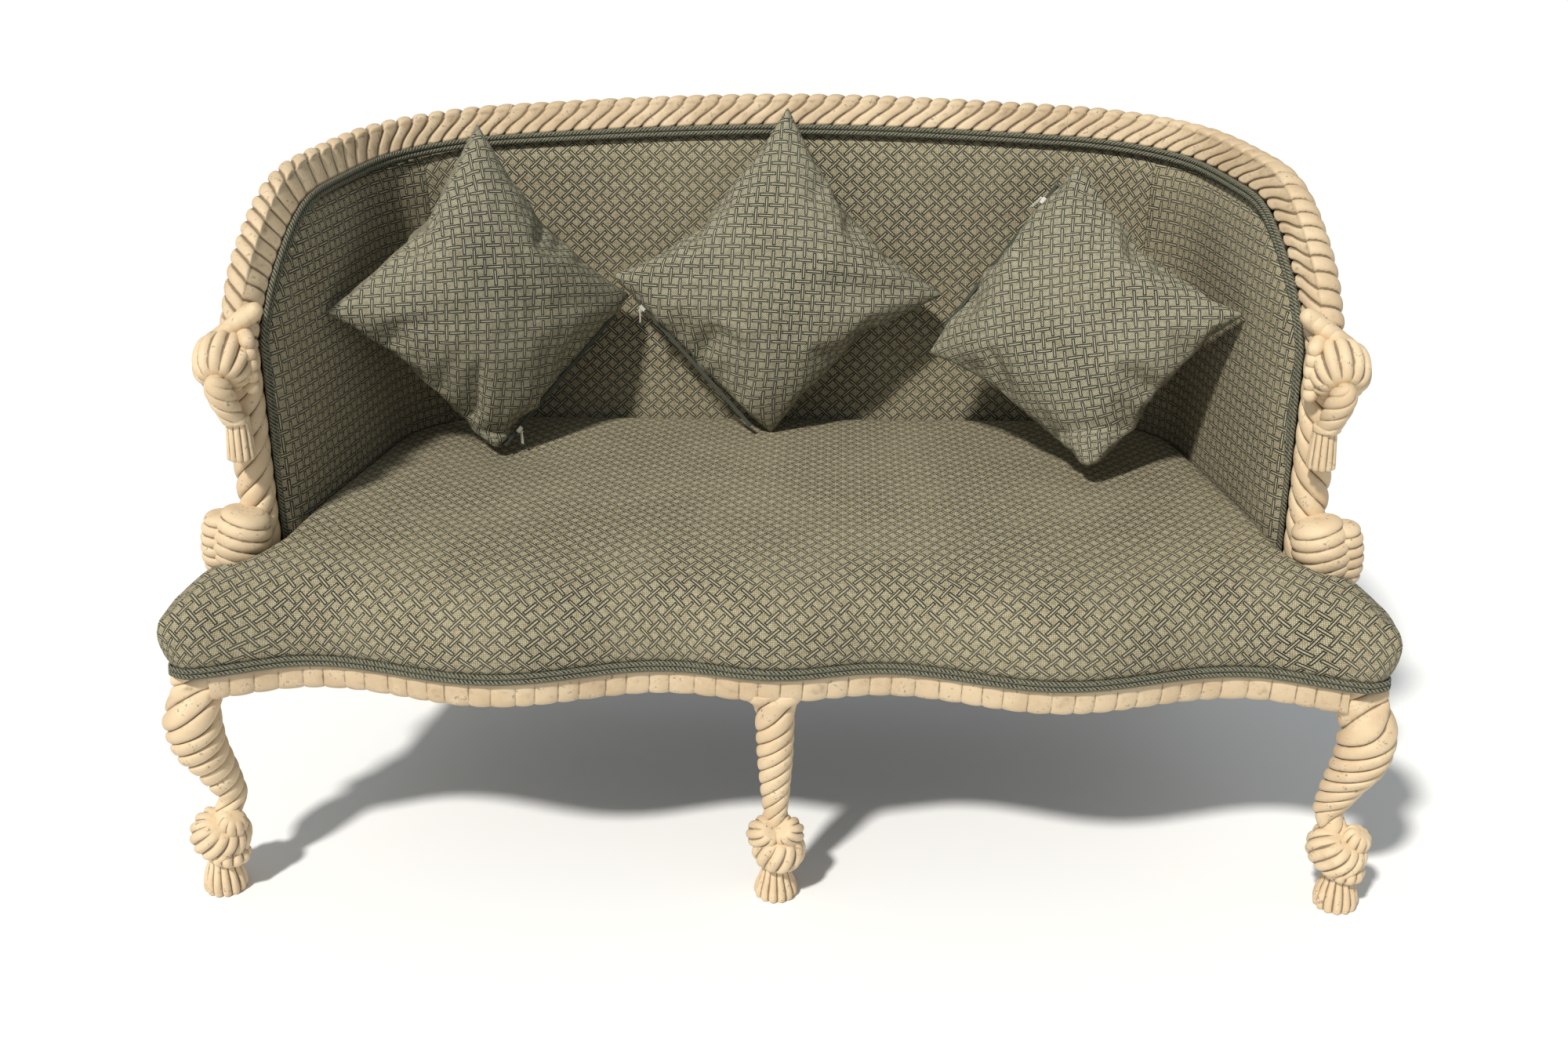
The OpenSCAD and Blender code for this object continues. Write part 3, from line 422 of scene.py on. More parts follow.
def basket_material(name, cell, light, dark, tan, diagonal):
    """Pin-check cloth with outlined bars laid as a basket weave. cell is in metres."""
    s = Net(name)
    uv = s.node("ShaderNodeUVMap", 0)
    vec = s.node("ShaderNodeMapping", 0, {"vector_type": "POINT"}, i0=uv,
                 Rotation=(0, 0, math.pi / 4 if diagonal else 0))
    wob = s.node("ShaderNodeTexNoise", 1, i0=vec, Scale=40.0, Detail=2.0)
    vec = s.node("ShaderNodeVectorMath", 0, {"operation": "MULTIPLY_ADD"}, i0=wob,
                 i1=(0.0010, 0.0010, 0.0), i2=vec)
    sep = s.t.nodes.new("ShaderNodeSeparateXYZ")
    s.put(sep.inputs[0], vec)
    x, y = (s.m("DIVIDE", sep.outputs[k], cell) for k in (0, 1))

    def bar(along, across, shift):
        row = s.m("FLOOR", across)
        odd = s.m("FLOORED_MODULO", s.m("ADD", row, shift), 2.0)
        a = s.m("ABSOLUTE", wrapped(s, s.m("SUBTRACT", s.m("SUBTRACT", along, 0.5), odd), 2.0))
        b = s.m("ABSOLUTE", s.m("SUBTRACT", s.m("FRACT", across), 0.5))
        return s.m("MAXIMUM", s.m("SUBTRACT", a, 0.76), s.m("SUBTRACT", b, 0.15))

    d = s.m("MINIMUM", bar(x, y, 0.0), bar(y, x, 1.0))
    line = s.m("MULTIPLY", s.ramp(d, -0.10, -0.075), s.ramp(d, 0.005, 0.03, 1.0, 0.0))
    inside = s.ramp(d, -0.11, -0.09, 1.0, 0.0)
    # pin check of light and dark threads, with slubs
    tx, ty = (s.m("MULTIPLY", v, cell / 0.0016) for v in (x, y))
    chk = s.m("FLOORED_MODULO", s.m("ADD", s.m("FLOOR", tx), s.m("FLOOR", ty)), 2.0)
    soft = s.m("MULTIPLY", s.m("SINE", s.m("MULTIPLY", tx, 3.14159)), s.m("SINE", s.m("MULTIPLY", ty, 3.14159)))
    slub = s.noise(vec, 170.0, 3.0, 0.6)
    wide = s.noise(vec, 7.0, 2.0)
    base = s.mix(s.ramp(slub, 0.38, 0.62), light, tan)
    base = s.mix(s.m("MULTIPLY", chk, 0.54), base, dark)
    base = s.mix(s.m("MULTIPLY", inside, 0.50), base, light)
    base = s.mix(line, base, dark)
    base = s.mix(s.ramp(wide, 0.35, 0.65, 0.0, 0.10), base, light)
    h = s.m("ADD", s.m("MULTIPLY", soft, 0.25), s.m("MULTIPLY", line, -0.8))
    return s.finish(base, 0.95, s.bump(h, 0.0007, 0.5))


def piping_material(name, light, dark):
    """Cord covered in cloth with slanted threads."""
    s = Net(name)
    uv = s.node("ShaderNodeUVMap", 0)
    sep = s.t.nodes.new("ShaderNodeSeparateXYZ")
    s.put(sep.inputs[0], uv)
    k = s.m("SINE", s.m("MULTIPLY", s.m("ADD", sep.outputs[0], sep.outputs[1]), 1250.0))
    slub = s.noise(uv, 300.0, 3.0)
    base = s.mix(s.ramp(k, -0.6, 0.1), light, dark)
    base = s.mix(s.ramp(slub, 0.4, 0.6, 0.0, 0.4), base, light)
    return s.finish(base, 0.95, s.bump(k, 0.0005, 0.4))


def plain_material(name, colour, rough, metal=0.0, spread=0.12, scale=40.0):
    s = Net(name)
    pos = s.node("ShaderNodeTexCoord", 3)
    n = s.noise(pos, scale, 4.0)
    dark = tuple(c * (1 - 2 * spread) for c in colour)
    s.bsdf.inputs["Metallic"].default_value = metal
    return s.finish(s.mix(s.ramp(n, 0.35, 0.65), dark, colour), rough, s.bump(n, 0.0004, 0.4))


LIGHT, DARK, TAN = (0.44, 0.393, 0.262), (0.006, 0.010, 0.009), (0.34, 0.275, 0.160)
CELL = 0.0144
# the last number sets how far the painted crease shade spreads into the hollows
PAINT = paint_material("painted_wood", 1.0, 0.004)
APRON_PAINT = paint_material("painted_apron", 0.88, 0.010)
RAIL_PAINT = paint_material("painted_rail", 0.92, 0.010)
SEAT_CLOTH = basket_material("seat_fabric", CELL, LIGHT, DARK, TAN, True)
SIDE_CLOTH = basket_material("inside_fabric", CELL, LIGHT, DARK, TAN, False)
CUSHION_CLOTH = basket_material("cushion_fabric", 0.0138, (0.400, 0.374, 0.262), DARK, (0.31, 0.272, 0.172), True)
PIPING = piping_material("piping", (0.21, 0.20, 0.135), (0.008, 0.011, 0.009))
SLOTS = {
    "painted_wood": PAINT, "seat_fabric": SEAT_CLOTH, "inside_fabric": SIDE_CLOTH,
    "cushion_fabric": CUSHION_CLOTH,
    "timber": plain_material("timber", (0.45, 0.29, 0.15), 0.7, scale=18.0),
    "steel": plain_material("steel", (0.55, 0.55, 0.54), 0.35, 1.0, 0.05),
    "webbing": plain_material("webbing", (0.30, 0.20, 0.11), 0.95, scale=300.0),
    "hessian": plain_material("hessian", (0.38, 0.27, 0.15), 0.95, scale=400.0),
    "padding": plain_material("padding", (0.75, 0.71, 0.60), 0.95, scale=200.0),
    "dust_cloth": plain_material("dust_cloth", (0.03, 0.03, 0.03), 0.95, scale=300.0),
    "zip_tape": plain_material("zip_tape", (0.055, 0.058, 0.042), 0.9, scale=300.0),
    "brass": plain_material("brass", (0.74, 0.72, 0.62), 0.35, 0.6, 0.08, 90.0),
}
for sub in frame["record"]["subparts"]:
    o = frame["nodes"][sub["node"]]
    o.data.materials.clear()
    o.data.materials.append(SLOTS[sub["material_slot"]])

# ---------------------------------------------------------------- rail and posts
rail_piece("crest_rail", -CREST_S, CREST_S)
rail_piece("arm_rail_left", -BEND_S, -CREST_S)
rail_piece("arm_rail_right", CREST_S, BEND_S)
post_piece("arm_post_left", -FOOT_S, -BEND_S, 1)
post_piece("arm_post_right", BEND_S, FOOT_S, -1)

# ---------------------------------------------------------------- knots and tassels
def carve(name, heap):
    """Piece built on the left side, mirrored for the right."""
    if name.endswith("right"):
        flip_x(heap)
    return make(name + "_look", heap.verts(), heap.f, PAINT, replaces=[name])


def stub(h, foot, top, r, lead, hand):
    """Short twisted end of rope with a rounded top, foot and top are centres."""
    foot, top = np.array(foot, float), np.array(top, float)
    m = 26
    f = np.linspace(0, 1, m)
    c = foot + (top - foot) * f[:, None]
    t = unit(top - foot)
    u = np.tile(unit(np.cross([0, 1.0, 0], t)), (m, 1))
    v = np.cross(t, u)
    k = r * np.sqrt(np.maximum(0.02, 1 - np.maximum(0, (f - 0.62) / 0.385) ** 2)) * (0.84 + 0.16 * smooth(f / 0.5))
    h.add(rope_rings(c, u, v, k, hand * 2 * math.pi * f * np.linalg.norm(top - foot) / lead, 0.20, 60))


for tag in ("left", "right"):
    h = Heap()
    melon(h, (-658, -180, 661), 37, 32, 12, 0.20, 0.10, (0.05, -1, -0.72), 0.35, rows=30, power=0.5)
    for k in range(4):                                     # collar over the top
        melon(h, (-664 + 10 * k, -160 + 1.5 * k, 686 + 7.5 * k), 12.5, 27, 2, 0.0, 0, (1, -0.35, 0.75), n=20, rows=16,
              power=0.6)
    for k in range(5):                                     # beads down the inner side
        melon(h, (-630 - 0.7 * abs(k - 2), -172, 688 - 14.0 * k), 10.5, 19, 2, 0.0, 0, (0.5, -1, -0.2), n=18, rows=14,
              power=0.6)
    carve("arm_knot_" + tag, h)

    h = Heap()
    stub(h, (-649, -196, 594), (-660, -222, 656), 17, 74, -1)
    fluted(h, (-648, -193, 0), [(589, 15, 0), (590.5, 16.4, 0), (596, 16.4, 0), (597.5, 15, 0)], 10, 0.0)
    fluted(h, (-646.5, -191, 0), [(542.5, 15.5, 1), (544, 17.5, 1), (560, 16.6, 1), (580, 15.4, 0.9), (591, 14.2, 0.4)],
           11, 0.17)
    carve("arm_tassel_" + tag, h)

    h = Heap()
    coil(h, (-686, -186, 431), 26, 40, 6, 0.17, (0.10, 0, 1), 0.40)
    coil(h, (-660, -187, 438), 36, 38, 5, 0.11, (0.24, 0.1, 1), 0.42, wave=0.6)
    carve("post_knot_" + tag, h)

    h = Heap()
    fluted(h, (-676, -202, 0), [(349, 13, 1), (352, 14.5, 1), (372, 13, 1), (390, 10, 0.9), (401, 9, 0.3)], 10, 0.18)
    carve("post_tassel_" + tag, h)

# ---------------------------------------------------------------- legs
# rows of height and radius, and of height and outward shift of the axis
CORNER_W = [[112, 18], [125, 19], [147, 23.5], [169, 27.5], [191, 32], [213, 34], [234, 35], [256, 35], [281, 33]]
CORNER_D = [[0, -4], [43, -6], [84, -7], [112, -17], [125, -21], [147, -15.5], [169, -9.5], [191, -2], [213, 3],
            [234, 5], [256, 5], [281, -2], [316, -7]]
MIDDLE_W = [[112, 16], [121, 16], [155, 19], [199, 22.5], [242, 24], [281, 27]]
REAR_W = [[112, 17], [147, 20], [200, 25], [281, 27.5]]
REAR_D = [[0, 22], [112, 14], [281, 0], [316, 0]]
LEG_LEAD = 74.0


def at_rows(z, rows):
    """Smooth value of the rows at each height z."""
    r = np.array(rows, float)
    t = np.interp(z, r[:, 0], np.arange(len(r)))
    return spline(r[:, 1], t)


def leg(name, at, widths, shift, block, kr, foot, face=0.0):
    """Rope leg with ankle knot and tassel foot. shift(z) gives the offset of the axis in plan. block is half the side
    of the square head, turned to face, or 0 for a leg that spreads out into the apron."""
    h = Heap()
    at = np.array([at[0], at[1]], float)
    z = np.arange(101, 317.0 if block else 293.0, 2.0)
    w = at_rows(np.clip(z, widths[0][0], 281), widths)
    c = np.column_stack([at + shift(z), z])
    a = np.linspace(0, 2 * math.pi, 72, endpoint=False)
    # strands climb faster toward the knee, so they fan out under the seat
    tw = 2 * math.pi * (z - 20 * smooth((z - 236) / 60)) / LEG_LEAD
    k = four_strands(a[None, :], w[:, None], 0.19)
    ang = a[None, :] + tw[:, None]
    if block:
        sq = block * ((np.abs(np.cos(ang - face)) ** 7 + np.abs(np.sin(ang - face)) ** 7) ** (-1 / 7))
        b = smooth((z - 268) / 30)[:, None]
        groove = (k / w[:, None] - 1) * 0.8 + 1
        k = k * (1 - b) + sq * groove * b
    else:
        k = k + 12 * smooth((z - 264) / 20)[:, None] ** 2 * np.abs(np.cos(ang)) ** 1.5
    h.add(c[:, None] + np.stack([k * np.cos(ang), k * np.sin(ang), 0 * k], -1))
    o = at + shift(np.array([84.0]))[0]
    if block:
        melon(h, (o[0] - 2, o[1], 77), kr, 26, 13, 0.17, 0.35, (0.42, -0.30, 1), 0.3, rows=30, power=0.5)
        melon(h, (o[0] + 17, o[1] - 8, 97), kr * 0.50, 15, 8, 0.20, -0.2, (0.5, -0.3, 1), 0.1, rows=20,
              power=0.5)
        melon(h, (o[0] + 7, o[1] - 5, 53), kr * 0.72, 12, 11, 0.20, 0.0, (0.15, 0, 1), 0.5, rows=18,
              power=0.45)
    else:
        melon(h, (o[0] + 4, o[1] - 2, 66), kr * 0.97, 22, 11, 0.17, 0.25, (0.12, -0.15, 1), 0.3, rows=30, power=0.45)
        melon(h, (o[0] - 13, o[1] - 4, 90), kr * 0.64, 22, 9, 0.19, 0.3, (0.55, -0.75, 0.8), 0.1, rows=24, power=0.5)
        melon(h, (o[0] + 15, o[1] - 4, 92), kr * 0.60, 20, 9, 0.19, -0.3, (-0.35, -0.85, 0.8), 0.4, rows=24, power=0.5)
    f = at + shift(np.array([0.0]))[0]
    fluted(h, (f[0], f[1], 0), foot, 13, 0.17)
    return make(name + "_look", h.verts(), h.f, PAINT, replaces=[name])


CORNER_FOOT = [(0, 24.5, 1), (1.5, 26.5, 1), (10, 27.5, 1), (24, 25, 1), (36, 20.5, 0.9), (46, 17.5, 0.5), (54, 15, 0)]
MIDDLE_FOOT = [(0, 24.5, 1), (1.5, 26.5, 1), (8, 27.5, 1), (20, 24, 1), (30, 20, 0.9), (38, 17.5, 0.5), (46, 15, 0)]
for s, tag in ((-1, "left"), (1, "right")):
    leg("front_leg_" + tag, (s * 702, -299), CORNER_W,
        lambda z, s=s: np.outer(at_rows(z, CORNER_D), [s, -1]), 28, 38.5, CORNER_FOOT)
leg("front_leg_centre", (0, -289), MIDDLE_W, lambda z: np.zeros((len(z), 2)), 0, 35, MIDDLE_FOOT)
REAR_Q = FLAT + ARC / 2
REAR_N, REAR_AT = plan_n(REAR_Q), plan(REAR_Q, -4.0)
for s, tag in ((-1, "left"), (1, "right")):
    out = REAR_N * [s, 1]
    leg("rear_leg_" + tag, (s * REAR_AT[0], REAR_AT[1]), REAR_W,
        lambda z, out=out: np.outer(at_rows(z, REAR_D), out), 28, 36, CORNER_FOOT, math.atan2(out[1], out[0]))

# ---------------------------------------------------------------- seat outline
WAVE = [[0, 316], [130, 294], [335, 336], [555, 291], [720, 334], [760, 334]]


def wave_y(x):
    x = np.abs(np.asarray(x, float))
    w = np.array(WAVE, float)
    i = np.clip(np.searchsorted(w[:, 0], x) - 1, 0, len(w) - 2)
    a, b = w[i], w[i + 1]
    return -(a[..., 1] + (b[..., 1] - a[..., 1]) * (1 - np.cos(np.pi * (x - a[..., 0]) / (b[..., 0] - a[..., 0]))) / 2)


FRONT_X = np.arange(0, 721, 36.0)
FRONT = np.column_stack([FRONT_X, wave_y(FRONT_X)])
EAR = np.array([[732, -322], [734, -300], [731, -268], [712, -250], [684, -238], [664, -224], [656, -206], [659, -184],
                [666, -164]], float)
ARM_Q = [PLAN - 12 - i * (ARM - 12) / 4 for i in range(4)]
ARC_Q = [FLAT + ARC * (1 - i / 6) for i in range(7)]
BACK_Q = [FLAT / 2, 0]
HALF_OUT = np.vstack([FRONT, EAR] + [plan(q, -SIDE_OUT)[None] for q in ARM_Q + ARC_Q + BACK_Q])


def mirrored(h):
    m = h[-2:0:-1].copy()
    m[:, 0] *= -1
    return np.vstack([h, m])


def resample(p, step):
    """Even steps along the closed smooth curve through p, with the parameter of each point."""
    t = np.arange(0, len(p), 0.05)
    c = spline(np.vstack([p[-2:], p, p[:3]]), t + 2)
    s = lengths(c)
    k = np.linspace(0, s[-1], max(8, int(s[-1] / step)) + 1)[:-1]
    return np.column_stack([np.interp(k, s, c[:, i]) for i in (0, 1)]), np.interp(k, s, t)


def outward(c, closed=True):
    d = np.roll(c, -1, 0) - np.roll(c, 1, 0) if closed else np.gradient(c, axis=0)
    d = unit(d)
    return np.column_stack([d[:, 1], -d[:, 0]])


def ring_tube(c, n, z, out, r, sides=10):
    """Closed tube along a plan curve at height z, with uv along it."""
    a = np.linspace(0, 2 * math.pi, sides, endpoint=False)
    rings = np.stack([np.column_stack([c + n * (out + r * math.cos(b)), np.full(len(c), z + r * math.sin(b))])
                      for b in a], 1)
    uv = np.stack([np.repeat(lengths(c)[:, None], sides, 1), np.repeat((a * r)[None], len(c), 0)], -1)
    f = tube_faces(len(c), sides, caps=False, flip=True)
    j = np.arange(sides)
    b = (len(c) - 1) * sides
    f += np.stack([b + j, j, (j + 1) % sides, b + (j + 1) % sides], -1)[:, ::-1].tolist()
    return rings.reshape(-1, 3), f, uv.reshape(-1, 2)


OUTLINE = mirrored(HALF_OUT)
OC = resample(OUTLINE, 3.0)[0]
ON = outward(OC)
BLOCK_PITCH, GROOVE = 27.0, 3.4        # carved blocks of the front apron


def reeded(name, keep, thick):
    """Carved strip under the seat along part of the outline; upright blocks on the outer face."""
    idx = np.where(keep)[0]
    gaps = np.where(np.diff(idx) > 1)[0]
    if len(gaps):
        idx = np.concatenate([idx[gaps[-1] + 1:], idx[:gaps[-1] + 1]])
    c, n = OC[idx], ON[idx]
    s = lengths(c)
    sub = np.arange(0, s[-1], 0.9)
    c = np.column_stack([np.interp(sub, s, c[:, k]) for k in (0, 1)])
    n = unit(np.column_stack([np.interp(sub, s, n[:, k]) for k in (0, 1)]))
    # height, distance outward and share of the grooves
    prof = [(315.6, 2.2, 1), (311, 2.8, 1), (305, 3.2, 1), (299, 3.2, 1), (293, 2.8, 1), (288, 2.0, 1), (284, 0.4, 1),
            (281.8, -2.4, 1), (280.6, -6, 1), (280.3, -13, 0.8)]
    rows = []
    for z, o, d in prof:
        ph = (sub + 0.06 * (316 - z)) / BLOCK_PITCH + 0.07 * np.sin(sub * 0.047) + 0.05 * np.sin(sub * 0.113)
        w = 0.82 * (1 - np.abs(np.sin(np.pi * ph)) ** 0.22) + 0.18 * (1 - np.abs(np.sin(np.pi * ph)))
        rise = 1.8 * w if z < 290 else 0
        rows.append(np.column_stack([c + n * (o - 3.0 - GROOVE * d * w)[:, None], np.full(len(c), z) + rise]))
    for z in (281.2, 315.6):
        rows.append(np.column_stack([c - n * thick, np.full(len(c), z)]))
    rings = np.stack(rows, 1)
    f = tube_faces(len(c), len(rows))
    return make(name + "_look", rings.reshape(-1, 3), f, APRON_PAINT, replaces=[name])


reeded("front_apron", (OC[:, 1] < -255) & (np.abs(OC[:, 0]) < 676), 40)

# ---------------------------------------------------------------- seat
PANEL_IN, LEAN, NEAR = 38.0, 14.0, 22.0


def lean_at(q):
    return LEAN * plan_n(q)[..., 1] ** 2


JOIN = np.array([[AW + 7, -PF - 86], [AW - 14, -PF - 66], [AW - 30, -PF - 40], [AW - 40, -PF - 12]])
JOIN_Q = [PLAN - 60 - i * (ARM - 40) / 3 for i in range(3)] + ARC_Q + BACK_Q
HALF_SEAT = np.vstack([FRONT, EAR[:5], JOIN] + [plan(q, PANEL_IN + 2 + lean_at(q))[None] for q in JOIN_Q])
SKIRT_END = len(FRONT) + 5 - 0.6
SEAT = mirrored(HALF_SEAT)
N_ALL = len(SEAT)


def face_share(t):
    """1 on the free front and corners of the seat, 0 where it meets the inside panels."""
    t = np.minimum(t, N_ALL - t)
    return 1 - smooth((t - SKIRT_END + 0.5) / 1.2)


def dist_to(p, line):
    """Distance from points p to a dense line of points."""
    out = np.full(len(p), 1e9)
    for k in range(0, len(line), 400):
        d = np.linalg.norm(p[:, None] - line[None, k:k + 400], axis=-1).min(1)
        out = np.minimum(out, d)
    return out


SC, ST = resample(SEAT, 5.0)
SN = outward(SC)
for _ in range(12):
    SN = unit(np.roll(SN, 1, 0) + 2 * SN + np.roll(SN, -1, 0))
F = face_share(ST)
FINE, FT = resample(SEAT, 2.0)
BACK_FROM = len(FRONT) + 1.4
_ft = np.minimum(FT, N_ALL - FT)
FREE_LINE, SIDE_LINE = FINE[_ft < BACK_FROM], FINE[face_share(FT) <= 0.5]
EAR_LINE = FINE[(_ft >= BACK_FROM) & (face_share(FT) > 0.5)]
SHOULDER = np.array([[560, 0], [630, 1], [650, 4], [665, 9], [685, 19], [705, 34], [722, 48], [732, 65], [742, 92]])


DENTS = ((-372, 99, 8.5, 60), (-60, 168, 3.0, 45))     # where loose cushions stand


def seat_z(p):
    """Height of the seat over a plan point."""
    df, ds = dist_to(p, FREE_LINE), dist_to(p, SIDE_LINE)
    zf = np.interp(df, [0, 4, 8, 12, 17, 22, 30, 40, 62, 95, 150, 260, 400],
                   [374, 388, 395.5, 400.5, 405.5, 409.5, 414.5, 419, 426.5, 433.5, 440, 445, 446])
    zs = np.interp(ds, [0, 3, 7, 12, 20, 30, 44, 75], [430, 436, 439.5, 442, 444, 445.2, 445.8, 446])
    de = dist_to(p, EAR_LINE)
    he = np.interp(de, [0, 3, 7, 12, 18, 30], [10, 5, 2.5, 1, 0.3, 0])
    hx = np.interp(np.abs(p[:, 0]), SHOULDER[:, 0], SHOULDER[:, 1])
    h = ((446 - zf) ** 2.6 + (446 - zs) ** 2.6 + hx ** 2.6) ** (1 / 2.6) + he
    for x, y, deep, wide in DENTS:
        h = h + deep * np.exp(-((p[:, 0] - x) ** 2 + (p[:, 1] - y) ** 2) / wide ** 2)
    return 446 - h + 2.5 * smooth((np.abs(p[:, 0]) - 380) / 160) * smooth((60 - h) / 60)


def tuck(c):
    """How far the lower edge is drawn in round the front corners."""
    return 17 * smooth((np.abs(c[:, 0]) - 690) / 40) * smooth((-c[:, 1] - 235) / 40)


# rings of the border, bottom first: outward offset and height on the free part, and by the panels
FREE_ROWS = [[-2, 325], [0.5, 329], [3.0, 336], [4.2, 345], [4.0, 356], [2.6, 367], [0, 377], [-4, 387], [-8, 394],
             [-12.5, 400], [-17, 405]]
SIDE_ROWS = [[1, 386], [1, 392], [1, 398], [1, 404], [1, 410], [0.8, 416], [0.4, 422], [-0.4, 428], [-2, 433],
             [-4.5, 437], [-8, 440]]
EAR_ROWS = [[-2, 0], [0, 0.05], [1.5, 0.13], [2.5, 0.26], [2.8, 0.42], [2.4, 0.58], [1.6, 0.70], [0.4, 0.80], [-2, 0.88],
            [-5.5, 0.94], [-9.5, 0.975]]
G = F * smooth((np.minimum(ST, N_ALL - ST) - len(FRONT) - 0.9) / 1.6)
inner = SC - SN * (NEAR * (F - G) + 13 * G + 12 * (1 - F))[:, None]
zin = seat_z(inner)
ring22 = np.column_stack([inner, zin])
rows = []
for a, b, e in zip(FREE_ROWS, SIDE_ROWS, EAR_ROWS):
    off = a[0] * (F - G) + b[0] * (1 - F) + e[0] * G - tuck(SC) * max(0, 1 - e[1] / 0.9)
    za = a[1] + (zin - 409.5) * ((a[1] - 325) / 84.5) ** 2
    zb = b[1] + (zin - 442) * ((b[1] - 386) / 56) ** 2
    ze = 325 + (zin - 325) * e[1]
    rows.append(np.column_stack([SC + SN * off[:, None], za * (F - G) + zb * (1 - F) + ze * G]))
rows.append(ring22)
rows = np.array(rows)
n = len(SC)
drop = smooth((np.abs(SC[:, 0]) - 560) / 150)
way = unit(np.column_stack([SN[:, 0] * drop, SN[:, 1]]))
seat_uv = [None] * len(rows)
seat_uv[-1] = inner.copy()
for k in range(len(rows) - 2, -1, -1):
    step = np.linalg.norm(rows[k] - rows[k + 1], axis=1)
    seat_uv[k] = seat_uv[k + 1] + way * step[:, None]
verts = rows.reshape(-1, 3)
uvs = np.array(seat_uv).reshape(-1, 2)
faces = tube_faces(len(rows), n, caps=False, flip=False)
# inside of the ring: even points joined by a Delaunay net
gx, gy = np.meshgrid(np.arange(-700, 701, 9.0), np.arange(-330, 275, 9.0))
grid_pts = np.column_stack([gx.ravel(), gy.ravel()])


def inside(p, loop):
    x, y = p[:, 0], p[:, 1]
    hit = np.zeros(len(p), bool)
    for (x0, y0), (x1, y1) in zip(loop, np.roll(loop, -1, 0)):
        if y0 != y1:
            c = ((y0 > y) != (y1 > y)) & (x < (x1 - x0) * (y - y0) / (y1 - y0) + x0)
            hit ^= c
    return hit


keep = inside(grid_pts, inner) & (dist_to(grid_pts, inner) > 5)
grid_pts = grid_pts[keep]
base = (len(rows) - 1) * n
flat = [Vector(p) for p in np.vstack([inner, grid_pts]).tolist()]
out = delaunay_2d_cdt(flat, [(i, (i + 1) % n) for i in range(n)], [], 1, 1e-4)
place = []
extra = np.array([list(v) for v in out[0]])
fresh = []
for i, o in enumerate(out[3]):
    if o and o[0] < n:
        place.append(base + o[0])
    else:
        place.append(len(verts) + len(fresh))
        fresh.append(extra[i])
fresh = np.array(fresh)
verts = np.vstack([verts, np.column_stack([fresh, seat_z(fresh)])])
uvs = np.vstack([uvs, fresh])
faces += [[place[k] for k in f] for f in out[2]]
seat = make("seat_cover_look", verts, faces, SEAT_CLOTH, uv=uvs, replaces=["seat_cover"])


def beads(name, c, n_out):
    """Double bead round the lower edge of the seat, its seam at the back."""
    v, f, u = [], [], []
    count = 0
    c, n_out = np.roll(c, len(c) // 2, 0), np.roll(n_out, len(c) // 2, 0)
    for z, o in ((319.2, 3.6), (325.8, 3.0)):
        a, b, w = ring_tube(c - n_out * tuck(c)[:, None], n_out, z, o, 3.3)
        v.append(a)
        f += [[i + count for i in q] for q in b]
        u.append(w)
        count += len(a)
    return make(name + "_look", np.concatenate(v), f, PIPING, uv=np.concatenate(u), replaces=[name])


beads("seat_welt", OC, ON)

# ---------------------------------------------------------------- inside and outside panels
_s = np.linspace(0, BEND_S + 1, 500)
_d = axis_dir(_s)
_tz, _tq = _d[:, 2], np.sqrt(np.maximum(0, 1 - _d[:, 2] ** 2))
_uq = np.interp(_s, hs, hq) + 24.5 * _tz
_uz = axis_pt(_s)[:, 2] - 24.5 * _tq
_k = np.maximum.accumulate(_uq) <= _uq + 1e-9
_uq, _uz = _uq[_k], _uz[_k]


def under_z(q):
    return np.interp(np.abs(q), _uq, _uz)


# section of an inside pad: shares of its thickness and height
PANEL_ROWS = np.array([[0.90, 0], [1.0, 0.05], [1.04, 0.12], [1.03, 0.28], [1, 0.45], [0.93, 0.64], [0.84, 0.8],
                       [0.76, 0.89], [0.64, 0.955], [0.45, 0.985], [0.2, 1.0]])


def side_plan(q, d):
    p = plan(np.abs(q), d)
    p[..., 0] *= np.where(q < 0, -1, 1)
    return p


def thinner(gap, seam):
    """How much a pad thins toward an end: little and at once at a seam, more and slower at a free edge."""
    e = np.clip(gap / (7.0 if seam else 60.0), 0, 1)
    return (1 - (e * (2 - e)) ** 0.6) * (0.3 if seam else 1.75)


def panel(name, q0, q1, mat, seam0=True, seam1=True):
    """Padded inside panel between two signed plan positions, each a seam or a free edge."""
    m = max(4, int(abs(q1 - q0) / 5))
    q = np.linspace(q0, q1, m + 1)
    t = np.linspace(0, len(PANEL_ROWS) - 1, 48)
    share, high = spline(PANEL_ROWS[:, 0], t), np.interp(t, np.arange(len(PANEL_ROWS)), PANEL_ROWS[:, 1])
    z1 = under_z(q)
    rows = []
    soft = 1 - thinner(q - q0, seam0) - thinner(q1 - q, seam1)
    for sh, hh in zip(share, high):
        d = 4 + 34 * sh + lean_at(np.abs(q)) * (1 - hh) * (hh < 1)
        d = 4 + (d - 4) * (0.80 + 0.20 * soft)
        z = 388 + (z1 - 388) * hh
        rows.append(np.column_stack([side_plan(q, d), z]))
    rows = np.array(rows)
    step = np.linalg.norm(np.diff(rows, axis=0), axis=-1)
    v = np.vstack([np.zeros((1, len(q))), np.cumsum(step, axis=0)])
    uv = np.stack([np.broadcast_to(q * 0.93, v.shape), v + 388], -1)
    f = tube_faces(len(rows), len(q), caps=False, closed=False)
    ob = make(name + "_look", rows.reshape(-1, 3), f, mat, uv=uv.reshape(-1, 2), replaces=[name])


SEAM = FLAT + ARC / 2
STOP, PANEL_STOP = PLAN - 25.5, PLAN - 17
panel("inside_back", -SEAM + 0.4, SEAM - 0.4, SEAT_CLOTH)
panel("inside_arm_left", -PANEL_STOP, -SEAM - 0.4, SIDE_CLOTH, seam0=False)
panel("inside_arm_right", SEAM + 0.4, PANEL_STOP, SIDE_CLOTH, seam1=False)


